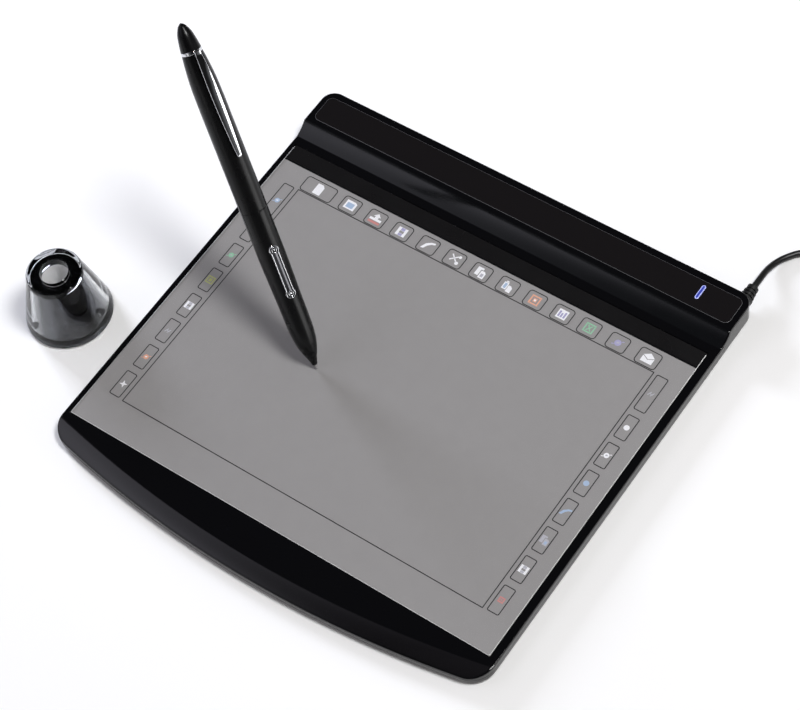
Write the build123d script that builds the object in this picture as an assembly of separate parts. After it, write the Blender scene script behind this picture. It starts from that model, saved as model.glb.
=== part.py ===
from build123d import *
import math
import os

# A pen tablet with its battery pen, the pen's desk stand and a captive USB cord.
# Millimetres. The origin is under the middle of the tablet on the desk: +X right, +Y rear, +Z up.

# Tablet case
case_width = 235.0
case_depth = 230.0
front_bow = 555.0
front_corner = 12.0
rear_corner = 7.0
foot_height = 0.8
deck_height = 7.0
bar_rise = 4.7
slope_margin = 28.5
slope_run = 7.3
slope_dip = 0.5
lip_run = 8.0
lip_drop = 2.2
seam_height = 3.9
bar_seam_drop = 1.8
wall = 1.8
floor_skin = 1.6
deck_skin = 1.1
bar_skin = 1.4
tongue_gap = 0.1
edge_round = 0.9
base_round = 1.0

# Film, printed sheet and the recess that both lie in. A margin is the way to the case's edge.
film_left_margin = 2.9
film_right_margin = 4.4
film_front_margin = 24.5
film_rear_margin = 33.2
film_skin = 0.35
film_lift_gap = 0.03
sheet_rear_margin = 42.3
sheet_skin = 0.25
recess_depth = 0.6
recess_margin = 0.3
tape_depth = 8.0
tape_skin = 0.2

# Inlay panel of the rear bar and its lamp
panel_side_margin = 3.1
panel_front_margin = 18.5
panel_rear_margin = 3.7
panel_skin = 1.0
panel_corner = 3.0
panel_gap = 0.2
lamp_side_margin = 22.4
lamp_front_margin = 13.8
lamp_rear_margin = 5.7
lamp_width = 2.0
lamp_gap = 0.1
lamp_air = 0.3

# Boards and shield
board_side_margin = 14.5
board_front_margin = 37.0
board_rear_margin = 47.0
board_skin = 1.0
board_tongue_start = 8.0
board_tongue_width = 30.0
board_tongue_margin = 14.0
shield_skin = 0.3
shield_margin = 2.0
rib_thickness = 1.2
rib_spacing_y = 28.0
main_side_margin = 11.5
main_length = 84.0
main_rear_margin = 5.0
main_depth = 15.5
main_skin = 1.2
main_air = 0.3
chip_start = 46.0
chip_size = 10.0
board_part_places = [
    (35.0, 13.0, 4.5, 3.0, 1.2),
    (66.0, 4.0, 4.0, 3.0, 1.2),
    (35.0, 2.0, 1.6, 0.9, 0.8),
    (39.0, 2.0, 1.6, 0.9, 0.8),
    (54.0, 2.0, 1.6, 0.9, 0.8),
    (58.0, 2.0, 1.6, 0.9, 0.8),
]
chip_height = 1.2
led_length = 3.2
led_width = 1.6
led_height = 1.0
connector_width = 8.0
connector_depth = 5.0
connector_height = 2.2
header_pins = 10
header_pitch = 2.54
header_pin = 0.64
header_width = 2.5

# Screws and feet
screw_radius = 1.1
screw_head_radius = 2.2
screw_head_height = 1.1
screw_drive = 0.5
screw_tip_cover = 0.5
boss_radius = 3.2
screw_hole_gap = 0.2
side_screw_margin = 8.5
side_screw_front = -60.0
side_screw_rear = 35.0
front_screw_x = 60.0
front_screw_margin = 17.0
rear_screw_margin = 12.0
rear_screw_x = (-66.0, 8.0)
board_screw_places = [(5.0, 10.5), (56.0, 10.5)]
foot_radius = 6.0
foot_seat = 0.7
foot_side_margin = 23.5
foot_front_margin = 29.0
foot_rear_margin = 17.0

# USB cord, with the places of its route counted from the case's rear right corner
cord_radius = 1.5
cord_margin = 5.5
cord_height = 5.5
relief_radius = 3.5
relief_tip_radius = 2.7
relief_length = 7.6
relief_core_radius = 2.2
relief_ribs = 4
relief_rib_share = 0.55
relief_neck_radius = 2.6
relief_flange_radius = 3.1
relief_flange = 1.5
tail_length = 7.0
lead_in = 12.0
lead_points = [
    (-6.2, 22.0, 2.6),
    (-3.7, 30.5, 1.6),
    (3.9, 39.7, 1.6),
]
lead_straight = 6.4

# Coil of the put-away length
coil_side_distance = 47.5
coil_rear_distance = 37.0
coil_start_angle = 115.8
coil_outer_radius = 22.5
coil_pitch = 4.0
coil_turns = 3
coil_layers = 4
coil_base = 2.2
coil_bend_radius = 12.0
coil_samples = 900
tie_skin = 0.5
tie_width = 7.0
tie_air = 0.35
tie_base_air = 0.1
tie_round = 1.0

# USB plug
plug_grip_length = 26.0
plug_grip_width = 12.5
plug_grip_height = 7.5
plug_grip_round = 1.5
plug_collar_length = 6.0
plug_collar_radius = 2.6
plug_shell_length = 14.0
plug_shell_width = 12.0
plug_shell_height = 4.5
plug_shell_skin = 0.3
plug_tongue_height = 1.8
plug_air = 0.3

# Pen, measured along its axis from the nib
pen_length = 168.0
pen_radius = 6.25
pen_lean = 37.0
pen_heading = 148.76
pen_turn = 9.0
nib_x = -31.84
nib_y = -14.45
nib_gap = 0.1
nib_radius = 0.8
nib_round = 0.55
nib_travel = 0.6
nib_length = 27.5
nib_hole_gap = 0.08
nose_start = 2.2
nose_seam = 12.6
nose_tip_radius = 1.25
nose_seam_radius = 4.62
nose_profile = [(4.5, 1.85), (9.6, 3.75)]
grip_profile = [(14.7, 5.0), (19.8, 5.55), (24.8, 5.7), (34.9, 5.8), (44.8, 6.02)]
grip_end = 54.8
grip_end_radius = 6.23
barrel_seam = 79.9
shoulder_start = 132.0
shoulder_profile = [(141.3, 6.02), (150.7, 5.2)]
ring_start = 154.2
ring_length = 1.6
ring_radius = 4.75
ring_seat_radius = 3.6
shoulder_end_radius = 4.75
cap_radius = 4.65
cap_profile = [(159.5, 4.1), (163.6, 3.2), (166.6, 1.8)]
cap_spigot = 1.4
front_bore = 3.6
front_bore_end = 27.0
barrel_bore = 4.9
spigot_length = 6.0
spigot_radius = 5.2
spigot_bore = 4.3
cell_bore = 5.3
cell_bore_end = 137.0
barrel_pull = 60.0
antenna_start = 13.5
antenna_end = 25.5
antenna_core_radius = 2.2
antenna_radius = 3.5
holder_radius = 1.7
holder_start = 26.2
holder_end = 31.0
sensor_radius = 4.7
sensor_length = 3.0
sensor_air = 0.9
pen_board_height = 1.2
pen_board_skin = 1.0
pen_board_half_width = 4.3
pen_board_end = 78.0
cell_radius = 5.2
cell_start = 88.0
cell_length = 43.3
cell_nub_radius = 1.9
cell_nub = 1.2
spring_radius = 3.0
spring_wire = 0.35
spring_turns = 4

# Rocker switch of the pen
switch_start = 37.2
switch_end = 63.2
switch_end_radius = 2.3
switch_waist = 1.85
bezel_rim = 0.5
bezel_proud = 0.3
bezel_depth = 1.9
rocker_gap = 0.15
rocker_proud = 0.5
rocker_depth = 2.4
rocker_pin_radius = 0.4
rocker_pin_gap = 0.06
rocker_pin_length = 0.3
rocker_dot_radius = 0.8
rocker_dot_height = 0.3
tact_length = 4.0
tact_width = 3.4
tact_air = 0.75

# Clip of the pen
clip_turn = 6.0
clip_skin = 1.5
clip_tip = 105.8
clip_line = [(153.2, 5.3), (150.5, 5.85), (141.0, 6.5), (130.0, 6.75), (108.5, 7.0)]
clip_plan = [
    (105.8, 1.9),
    (108.0, 2.3),
    (112.0, 2.8),
    (118.0, 3.4),
    (124.0, 3.85),
    (130.0, 4.15),
    (136.0, 4.3),
    (142.0, 4.15),
    (148.0, 3.7),
    (153.2, 3.0),
]
clip_foot_length = 3.0
clip_foot_air = 0.25
clip_foot_width = 1.8
clip_root_air = 0.3
clip_root_width = 3.0

# Pen stand
stand_distance = 35.5
stand_y = -46.0
stand_height = 34.0
stand_base_radius = 20.9
stand_top_radius = 12.9
stand_hole_radius = 6.6
stand_hole_depth = 28.0
stand_plate = 4.0
stand_rim_round = 1.0
core_base_radius = 17.8
core_top_radius = 11.6
core_gap = 0.15
stand_base_skin = 1.7
stand_pad_skin = 0.8
stand_pad_margin = 1.5
stand_edge_height = 1.2
stand_weight_radius = 12.0
stand_weight_height = 2.6
stand_pin_radius = 1.7
stand_pin_height = 8.0
stand_pin_depth = 2.0
stand_pin_reach = 0.9
stand_pins = 3
stand_pin_turn = -105.5

# Heights and places worked out from the sizes above
cover_base = foot_height
floor_top = cover_base + floor_skin
recess_floor = deck_height - recess_depth
deck_under = recess_floor - deck_skin
bar_top = deck_height + bar_rise
bar_seam = bar_top - bar_seam_drop
bar_under = bar_top - panel_skin - bar_skin
half_width = case_width / 2
half_depth = case_depth / 2
slope_start = half_depth - slope_margin
slope_end = slope_start + slope_run
bow_centre = front_bow - half_depth
film_left = film_left_margin - half_width
film_right = half_width - film_right_margin
film_front = film_front_margin - half_depth
film_rear = half_depth - film_rear_margin
sheet_rear = half_depth - sheet_rear_margin
panel_half_width = half_width - panel_side_margin
panel_front = half_depth - panel_front_margin
panel_rear = half_depth - panel_rear_margin
lamp_x = half_width - lamp_side_margin
lamp_front = half_depth - lamp_front_margin
lamp_rear = half_depth - lamp_rear_margin
board_half_width = half_width - board_side_margin
board_front = board_front_margin - half_depth
board_rear = half_depth - board_rear_margin
main_right = half_width - main_side_margin
main_left = main_right - main_length
main_rear = half_depth - main_rear_margin
main_front = main_rear - main_depth
board_tongue_left = main_left + board_tongue_start
board_tongue_right = board_tongue_left + board_tongue_width
board_tongue_rear = half_depth - board_tongue_margin
foot_x = half_width - foot_side_margin
foot_front = foot_front_margin - half_depth
foot_rear = half_depth - foot_rear_margin
cord_x = half_width - cord_margin
coil_x = half_width + coil_side_distance
coil_y = half_depth + coil_rear_distance
stand_x = -half_width - stand_distance
board_top = deck_under
board_bottom = board_top - board_skin
shield_bottom = board_bottom - shield_skin
main_bottom = board_top + main_air
main_top = main_bottom + main_skin
film_bottom = recess_floor + sheet_skin + film_lift_gap
film_top = film_bottom + film_skin
cord_diameter = 2 * cord_radius
block = 400.0


def box(x0, x1, y0, y1, z0, z1):
    """A box between two corners."""
    return Pos((x0 + x1) / 2, (y0 + y1) / 2, (z0 + z1) / 2) * Box(x1 - x0, y1 - y0, z1 - z0)


def post(x, y, z0, z1, radius):
    """An upright cylinder between two heights."""
    return Pos(x, y, (z0 + z1) / 2) * Cylinder(radius, z1 - z0)


def save(name, shape):
    """Write one piece to its own file."""
    export_step(shape, f"parts/{name}.step")


def group(solids):
    """Several separate solids kept as one piece."""
    return Compound(children=list(solids))


# Tablet case

def outline(inset):
    """The case's plan: straight sides and rear, and a front edge bowed on one large arc."""
    half = half_width - inset
    rear = half_depth - inset
    bow = front_bow - inset
    side_front = bow_centre - math.sqrt(bow ** 2 - half ** 2)
    front = bow_centre - bow
    right = Line((half, side_front), (half, rear))
    back = Line((half, rear), (-half, rear))
    left = Line((-half, rear), (-half, side_front))
    bowed = ThreePointArc((-half, side_front), (0, front), (half, side_front))
    face = make_face([right, back, left, bowed])
    rows = face.vertices().group_by(Axis.Y)
    face = fillet(rows[-1], rear_corner - inset)
    return fillet(face.vertices().sort_by(Axis.Y)[:2], front_corner - inset)


def prism(inset, z0, z1):
    """The plan between two heights."""
    return extrude(Pos(0, 0, z0) * outline(inset), z1 - z0)


def below(deck, bar, start, end):
    """All the space under a side line that runs level, up the slope and level again over the bar."""
    middle = ((start + end) / 2 + slope_dip / 2, (deck + bar) / 2 - slope_dip)
    edges = [
        Line((-block, -block), (-block, deck)),
        Line((-block, deck), (start, deck)),
        ThreePointArc((start, deck), middle, (end, bar)),
        Line((end, bar), (block, bar)),
        Line((block, bar), (block, -block)),
        Line((block, -block), (-block, -block)),
    ]
    return extrude(Plane.YZ * make_face(edges), block, both=True)


def lip_cutter():
    """What is taken off along the bowed front edge, so that the deck rolls down over it."""
    start = front_bow - lip_run
    radius = (lip_run ** 2 + lip_drop ** 2) / (2 * lip_drop)
    centre = deck_height - radius
    angle = math.asin(lip_run / radius) / 2
    middle = (start + radius * math.sin(angle), centre + radius * math.cos(angle))
    end = (front_bow, deck_height - lip_drop)
    beyond = front_bow + lip_run
    edges = [
        ThreePointArc((start, deck_height), middle, end),
        Line(end, (beyond, end[1])),
        Line((beyond, end[1]), (beyond, 2 * bar_top)),
        Line((beyond, 2 * bar_top), (start, 2 * bar_top)),
        Line((start, 2 * bar_top), (start, deck_height)),
    ]
    sweep_angle = 30
    turned = revolve(Plane.XZ * make_face(edges), Axis.Z, sweep_angle)
    return Pos(0, bow_centre, 0) * Rot(0, 0, -90 - sweep_angle / 2) * turned


def case_envelope():
    """The closed outer shape of both covers together."""
    body = prism(0, cover_base, 2 * bar_top) & below(deck_height, bar_top, slope_start, slope_end)
    body = body - lip_cutter()
    rear_edges = body.edges().filter_by_position(Axis.Z, bar_top - 0.01, bar_top + 0.01)
    rear_edges = rear_edges.filter_by(lambda edge: edge.center().Y > slope_end + 0.1)
    body = fillet(rear_edges, edge_round)
    base_edges = body.edges().filter_by_position(Axis.Z, cover_base - 0.01, cover_base + 0.01)
    return fillet(base_edges, base_round)


def cover_screw_places():
    """The screws that hold the two covers together: two at each side, two in front, two behind."""
    side = half_width - side_screw_margin
    front = front_screw_margin - half_depth
    rear = half_depth - rear_screw_margin
    places = [(x, y) for x in (-side, side) for y in (side_screw_front, side_screw_rear)]
    places += [(x, front) for x in (-front_screw_x, front_screw_x)]
    return places + [(x, rear) for x in rear_screw_x]


def board_points(places):
    """Places on the main board, counted from its front left corner."""
    return [(main_left + place[0], main_front + place[1]) + tuple(place[2:]) for place in places]


def foot_places():
    """The four corner feet."""
    return [(x, y) for x in (-foot_x, foot_x) for y in (foot_front, foot_rear)]


def make_case():
    """Bottom cover and top cover, split along the seam, with ribs, bosses and recesses."""
    envelope = case_envelope()
    seam = below(seam_height, bar_seam, slope_start, slope_end)
    ceiling = below(deck_under, bar_under, slope_start, slope_end)
    cavity = prism(wall, floor_top, 2 * bar_top) & ceiling

    bottom = (envelope & seam) - prism(wall, floor_top, 2 * bar_top)
    y = board_front + shield_margin + rib_thickness
    while y < board_rear - shield_margin:
        rib = box(-board_half_width, board_half_width, y, y + rib_thickness, floor_top, shield_bottom)
        bottom = bottom + rib
        y = y + rib_spacing_y
    for x, y in board_points(board_screw_places):
        bottom = bottom + post(x, y, floor_top, main_bottom, boss_radius - 1)
        bottom = bottom - post(x, y, floor_top, main_bottom, screw_radius)
    head_seat = cover_base + screw_head_height + 0.1
    for x, y in cover_screw_places():
        bottom = bottom + post(x, y, floor_top, seam_height, boss_radius)
        bottom = bottom - post(x, y, 0, head_seat, screw_head_radius + screw_hole_gap)
        bottom = bottom - post(x, y, 0, bar_top, screw_radius + screw_hole_gap)
    for x, y in foot_places() + [(0, 0)]:
        bottom = bottom - post(x, y, 0, cover_base + foot_seat, foot_radius)
    bottom = bottom - along_cord(half_depth - 2 * rear_corner, half_depth + rear_corner, relief_neck_radius)
    save("bottom_cover", bottom)

    inner_plate = prism(wall + tongue_gap, cover_base, 2 * bar_top) - ceiling
    top = (envelope - seam) + (envelope & inner_plate) - cavity
    for x, y in cover_screw_places():
        ceiling_here = bar_under if y > slope_end else deck_under
        shell_top = bar_top - panel_skin if y > slope_end else recess_floor
        if y < film_front:
            shell_top = deck_height
        top = top + post(x, y, seam_height, ceiling_here, boss_radius)
        top = top - post(x, y, 0, shell_top - screw_tip_cover, screw_radius)
    recess = box(
        film_left - recess_margin,
        film_right + recess_margin,
        film_front - recess_margin,
        film_rear + recess_margin,
        recess_floor,
        2 * bar_top,
    )
    top = top - recess
    panel_seat = panel_blank(panel_gap, bar_top - panel_skin, 2 * bar_top)
    top = top - panel_seat
    top = top - lamp_slot(lamp_gap, 0, 2 * bar_top)
    save("top_cover", top)

    panel = panel_blank(0, bar_top - panel_skin, bar_top) - lamp_slot(lamp_gap, 0, 2 * bar_top)
    save("bar_panel", panel)


def panel_blank(grow, z0, z1):
    """The inlay panel's plan, grown by a gap, between two heights."""
    width = 2 * (panel_half_width + grow)
    depth = panel_rear - panel_front + 2 * grow
    plan = RectangleRounded(width, depth, panel_corner + grow)
    return extrude(Pos(0, (panel_front + panel_rear) / 2, z0) * plan, z1 - z0)


def lamp_slot(grow, z0, z1):
    """The lamp window's plan, grown by a gap, between two heights."""
    width = lamp_width + 2 * grow
    depth = lamp_rear - lamp_front + 2 * grow
    plan = SlotOverall(depth, width, rotation=90)
    return extrude(Pos(lamp_x, (lamp_front + lamp_rear) / 2, z0) * plan, z1 - z0)


def make_surface():
    """Printed sheet, hinge tape and clear film."""
    sheet_top = recess_floor + sheet_skin
    save("insert_sheet", box(film_left, film_right, film_front, sheet_rear, recess_floor, sheet_top))
    tape_front = film_rear - tape_depth
    tape_top = recess_floor + tape_skin
    save("hinge_tape", box(film_left, film_right, tape_front, film_rear, recess_floor, tape_top))
    film = box(film_left, film_right, film_front, film_rear, film_bottom, film_top)
    film = fillet(film.edges().filter_by(Axis.Z), edge_round)
    save("film_cover", film)


def make_boards():
    """Antenna board, shield, main board and what is on it."""
    holes = [post(x, y, 0, bar_top, boss_radius + screw_hole_gap) for x, y in cover_screw_places()]
    sensor = box(-board_half_width, board_half_width, board_front, board_rear, board_bottom, board_top)
    sensor = sensor + box(
        board_tongue_left, board_tongue_right, board_rear, board_tongue_rear, board_bottom, board_top
    )
    for hole in holes:
        sensor = sensor - hole
    header_y = board_tongue_rear - header_width
    header_x = (board_tongue_left + board_tongue_right) / 2
    first_pin = header_x - header_pitch * (header_pins - 1) / 2
    pins = []
    for index in range(header_pins):
        x = first_pin + index * header_pitch
        half = header_pin / 2
        pin_top = main_top + header_pitch / 2
        pins.append(box(x - half, x + half, header_y - half, header_y + half, board_bottom, pin_top))
    header_half = header_pins * header_pitch / 2
    header_bar = box(
        header_x - header_half,
        header_x + header_half,
        header_y - header_width / 2,
        header_y + header_width / 2,
        board_top,
        main_bottom,
    )
    header = header_bar
    for pin in pins:
        header = header + pin
        sensor = sensor - pin
    save("pin_header", header)
    save("sensor_board", sensor)
    shield = box(
        -board_half_width + shield_margin,
        board_half_width - shield_margin,
        board_front + shield_margin,
        board_rear - shield_margin,
        shield_bottom,
        board_bottom,
    )
    save("shield_plate", shield)

    main = box(main_left, main_right, main_front, main_rear, main_bottom, main_top)
    for x, y in board_points(board_screw_places):
        main = main - post(x, y, 0, bar_top, screw_radius + screw_hole_gap)
    for pin in pins:
        main = main - pin
    save("main_board", main)

    chip_y = (main_front + main_rear) / 2
    chip_place = Pos(main_left + chip_start, chip_y, main_top + chip_height / 2)
    save("controller_chip", chip_place * Box(chip_size, chip_size, chip_height))
    small = []
    for x, y, length, width, height in board_points(board_part_places):
        small.append(Pos(x, y, main_top + height / 2) * Box(length, width, height))
    save("board_parts", group(small))
    lamp_y = (lamp_front + lamp_rear) / 2
    led = box(
        lamp_x - led_width / 2,
        lamp_x + led_width / 2,
        lamp_y - led_length / 2,
        lamp_y + led_length / 2,
        main_top,
        main_top + led_height,
    )
    save("status_led", led)
    save("light_pipe", lamp_slot(0, main_top + led_height + lamp_air, bar_top))

    connector_x = main_right - connector_width / 2
    connector_y = main_front + connector_depth / 2 + 1
    connector = box(
        connector_x - connector_width / 2,
        connector_x + connector_width / 2,
        connector_y - connector_depth / 2,
        connector_y + connector_depth / 2,
        main_top,
        main_top + connector_height,
    )
    save("board_connector", connector)


def make_fasteners():
    """Cover screws, board screws and feet."""
    screws = []
    head_seat = cover_base + screw_head_height + 0.1
    for x, y in cover_screw_places():
        shell_top = bar_top - panel_skin if y > slope_end else recess_floor
        if y < film_front:
            shell_top = deck_height
        head = post(x, y, head_seat - screw_head_height, head_seat, screw_head_radius)
        slot = Pos(x, y, head_seat - screw_head_height) * Box(2.4, screw_drive, 2 * screw_drive)
        cross = Pos(x, y, head_seat - screw_head_height) * Box(screw_drive, 2.4, 2 * screw_drive)
        shank = post(x, y, head_seat, shell_top - screw_tip_cover, screw_radius)
        screws.append(head - slot - cross + shank)
    save("cover_screws", group(screws))
    board_screws = []
    for x, y in board_points(board_screw_places):
        shank = post(x, y, floor_top + floor_skin, main_top, screw_radius)
        board_screws.append(shank + post(x, y, main_top, main_top + screw_head_height, screw_head_radius))
    save("board_screws", group(board_screws))
    save("corner_feet", group([foot(x, y) for x, y in foot_places()]))
    save("centre_foot", foot(0, 0))


def foot(x, y):
    """A round rubber foot, seated in the bottom cover."""
    return post(x, y, 0, cover_base + foot_seat, foot_radius)


# USB cord

def make_relief():
    """Ribbed strain relief, moulded round the cord at the rear wall, and the cord's inner end."""
    rear = half_depth
    pitch = relief_length / relief_ribs
    neck_front = rear - wall
    inner = along_cord(neck_front - relief_flange, rear, relief_flange_radius)
    inner = inner & prism(wall, floor_top, bar_under)
    ribs = along_cord(rear - relief_flange, rear + relief_length, relief_core_radius)
    for index in range(relief_ribs):
        start = rear + index * pitch
        share = index / (relief_ribs - 1)
        radius = relief_radius + (relief_tip_radius - relief_radius) * share
        if index == 0:
            start = start - relief_flange
        end = rear + (index + rib_share(index)) * pitch
        ribs = ribs + along_cord(start, end, radius)
    ribs = ribs - prism(0, 0, 2 * bar_top)
    neck = along_cord(neck_front - relief_flange, rear + pitch / 2, relief_neck_radius)
    save("strain_relief", inner + ribs + neck)
    tail_end = neck_front - relief_flange
    save("cable_tail", along_cord(tail_end - tail_length, tail_end, cord_radius))


def rib_share(index):
    """How much of its pitch a rib takes up; the last one takes all of it."""
    return 1.0 if index == relief_ribs - 1 else relief_rib_share


def along_cord(y0, y1, radius):
    """A round bar on the cord's axis at its exit."""
    return Pos(cord_x, (y0 + y1) / 2, cord_height) * Rot(90, 0, 0) * Cylinder(radius, y1 - y0)


def coil_point(angle, radius, height):
    """A point of the coil by its angle about the coil's centre."""
    turn = math.radians(angle)
    return Vector(coil_x + radius * math.cos(turn), coil_y + radius * math.sin(turn), height)


def coil_station(turns):
    """Centre line after so many turns: layers spiral in and out in turn, with a half turn to climb."""
    inner = coil_outer_radius - coil_pitch * coil_turns
    cycle = coil_turns + 0.5
    layer = min(int(turns / cycle), coil_layers - 1)
    rest = turns - layer * cycle
    spiral = min(rest, coil_turns)
    inward = layer % 2 == 0
    radius = coil_outer_radius - coil_pitch * spiral if inward else inner + coil_pitch * spiral
    climb = max(0.0, rest - coil_turns) / 0.5
    height = coil_base + coil_pitch * (layer + (1 - math.cos(math.pi * climb)) / 2)
    return coil_point(coil_start_angle - 360 * turns, radius, height)


def coil_knots():
    """Points and directions at every quarter turn, the straight start and the bend onto the plug."""
    step = 0.001
    total = coil_layers * (coil_turns + 0.5)
    knots = []
    count = int(total * 4)
    for index in range(count + 1):
        turns = index / 4
        point = coil_station(turns)
        low = max(turns - step, 0)
        high = min(turns + step, total)
        direction = (coil_station(high) - coil_station(low)).normalized()
        knots.append((point, direction))
    radial = Vector(math.cos(math.radians(coil_start_angle)), math.sin(math.radians(coil_start_angle)), 0)
    heading = radial.cross(Vector(0, 0, 1))
    first = knots[0][0]
    knots[0] = (first, heading)
    start = first - heading * cord_diameter
    last = knots[-1][0]
    knots[-1] = (last, heading)
    bend_end = last - radial * coil_bend_radius + heading * coil_bend_radius
    bend_end = Vector(bend_end.X, bend_end.Y, plug_height())
    knots.append((bend_end, radial * -1))
    plug_face = bend_end - radial * cord_diameter
    return start, knots, plug_face, radial


def plug_height():
    """Height of the plug's axis: it lies on the top layer of the coil."""
    top_layer = coil_base + coil_pitch * (coil_layers - 1) + cord_radius
    return top_layer + plug_air + plug_grip_height / 2


def biarc(point, direction, end, end_direction):
    """Two arcs that meet smoothly, from one point and direction to another."""
    chord = end - point
    both = direction + end_direction
    along = chord.dot(both)
    bend = 2 * (1 - direction.dot(end_direction))
    length = chord.dot(chord)
    reach = length / (2 * along)
    if bend > 1e-9:
        reach = (math.sqrt(along ** 2 + bend * length) - along) / bend
    middle = (point + direction * reach + end - end_direction * reach) * 0.5
    first = TangentArc(point, middle, tangent=direction)
    second = TangentArc(middle, end, tangent=first % 1)
    return [first, second]


def least_gap(points, skip):
    """Least distance between parts of a line that lie more than so many points apart."""
    best = block
    for index, point in enumerate(points):
        for other in points[index + skip:]:
            near = (point - other).length
            if near < best:
                best = near
    return best


def make_coil():
    """The put-away length as one unbroken tube, its tie and the plug that lies on it."""
    start, knots, plug_face, radial = coil_knots()
    edges = [Line(start, knots[0][0])]
    for here, there in zip(knots, knots[1:]):
        edges.extend(biarc(here[0], here[1], there[0], there[1]))
    edges.append(Line(knots[-1][0], plug_face))
    path = Wire(edges)
    heading = knots[0][1]
    section = Plane(origin=start, z_dir=heading) * Circle(cord_radius)
    coil = sweep(section, path=path)
    save("usb_coil", coil)
    samples = [path.position_at(index / coil_samples) for index in range(coil_samples + 1)]
    skip = int(coil_samples * 3 * cord_diameter / path.length) + 1
    gap = least_gap(samples, skip) - cord_diameter
    share = coil.volume / (path.length * math.pi * cord_radius ** 2)
    print("coil length", round(path.length, 1), "volume share", round(share, 4))
    print("coil least gap to itself", round(gap, 2))

    middle_radius = coil_outer_radius - coil_pitch * coil_turns / 2
    inside = coil_pitch * coil_turns + cord_diameter + 2 * tie_air
    base = coil_base - cord_radius - tie_base_air
    top = coil_base + coil_pitch * (coil_layers - 0.5) + cord_radius + tie_air
    outer = RectangleRounded(inside + 2 * tie_skin, top - base + 2 * tie_skin, tie_round + tie_skin)
    inner = RectangleRounded(inside, top - base, tie_round)
    loop = extrude(outer - inner, tie_width / 2, both=True)
    place = coil_point(coil_start_angle + 90, middle_radius, (top + base) / 2)
    tie = Location(Plane(origin=place, x_dir=heading, z_dir=radial)) * loop
    save("coil_tie", tie)
    make_plug(plug_face, radial * -1)
    return start, heading, path.length


def make_plug(face, direction):
    """USB plug: moulded grip with its collar, metal shell and inner tongue."""
    place = Location(Plane(origin=face, x_dir=direction.cross(Vector(0, 0, 1)), z_dir=direction))
    collar = extrude(Circle(plug_collar_radius), plug_collar_length)
    grip_plan = RectangleRounded(plug_grip_width, plug_grip_height, plug_grip_round)
    body = extrude(Pos(0, 0, plug_collar_length) * grip_plan, plug_grip_length - plug_collar_length)
    save("plug_grip", place * (collar + body))
    shell_face = Rectangle(plug_shell_width, plug_shell_height)
    hollow = Rectangle(plug_shell_width - 2 * plug_shell_skin, plug_shell_height - 2 * plug_shell_skin)
    shell = extrude(Pos(0, 0, plug_grip_length) * (shell_face - hollow), plug_shell_length)
    save("plug_shell", place * shell)
    tongue_width = plug_shell_width - 2 * plug_shell_skin
    offset = plug_shell_height / 2 - plug_shell_skin - plug_tongue_height / 2
    tongue_plan = Pos(0, offset, plug_grip_length) * Rectangle(tongue_width, plug_tongue_height)
    save("plug_tongue", place * extrude(tongue_plan, plug_shell_length - 1))


def make_lead(coil_start, heading):
    """The free stretch from the strain relief to the coil: straight runs joined by tangent arcs."""
    exit_point = Vector(cord_x, half_depth + relief_length, cord_height)
    first = exit_point + Vector(0, lead_straight, 0)
    last = coil_start - heading * lead_in
    route = [Vector(half_width + x, half_depth + y, z) for x, y, z in lead_points]
    points = [exit_point, first] + route + [last, coil_start]
    radii = []
    for before, here, after in zip(points, points[1:], points[2:]):
        run = min((here - before).length, (after - here).length)
        turn = math.radians((here - before).get_angle(after - here))
        radii.append(0.45 * run / math.tan(turn / 2))
    path = FilletPolyline(*points, radius=radii)
    tube = sweep(Plane(origin=exit_point, z_dir=(0, 1, 0)) * Circle(cord_radius), path=path)
    save("usb_lead", tube)
    share = tube.volume / (path.length * math.pi * cord_radius ** 2)
    print("lead length", round(path.length, 1), "volume share", round(share, 4))
    print("lead radii", [round(radius, 1) for radius in radii])
    return path.length


# Pen

def pen_place():
    """The pen's own frame: its axis leans back from the nib, and its switch faces the reader."""
    lean = math.radians(pen_lean)
    heading = math.radians(pen_heading)
    turn = math.radians(pen_turn)
    axis = Vector(math.sin(lean) * math.cos(heading), math.sin(lean) * math.sin(heading), math.cos(lean))
    upward = (Vector(0, 0, 1) - axis * axis.Z).normalized()
    switch_side = upward * math.cos(turn) + axis.cross(upward) * math.sin(turn)
    tip_sink = nib_round * (1 - math.cos(lean))
    nib_z = film_top + nib_gap + tip_sink
    return Location(Plane(origin=(nib_x, nib_y, nib_z), x_dir=switch_side, z_dir=axis))


def turned(points):
    """A solid of revolution about the pen's axis, from radius and distance pairs joined by lines."""
    corners = [(radius, 0, distance) for radius, distance in points]
    return revolve(make_face(Polyline(*corners, close=True)), Axis.Z)


def turned_curve(curve, rest):
    """A solid of revolution whose outer line is a smooth curve through points, closed by lines."""
    outer = Spline(*[(radius, 0, distance) for distance, radius in curve])
    corners = [(curve[-1][1], curve[-1][0])] + rest + [(curve[0][1], curve[0][0])]
    sides = Polyline(*[(radius, 0, distance) for radius, distance in corners])
    return revolve(make_face([outer] + sides.edges()), Axis.Z)


def ring_tube(start, end, outer, inner):
    """A plain sleeve on the pen's axis."""
    return turned([(inner, start), (outer, start), (outer, end), (inner, end)])


def dog_bone(inset, x0, x1):
    """The switch's outline, two round ends and a waist, raised along the pen's radius."""
    end_radius = switch_end_radius - inset
    low = switch_start + switch_end_radius
    high = switch_end - switch_end_radius
    half = switch_waist - inset
    shape = box(x0, x1, -half, half, low, high)
    for distance in (low, high):
        shape = shape + Pos((x0 + x1) / 2, 0, distance) * Rot(0, 90, 0) * Cylinder(end_radius, x1 - x0)
    return shape


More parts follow.
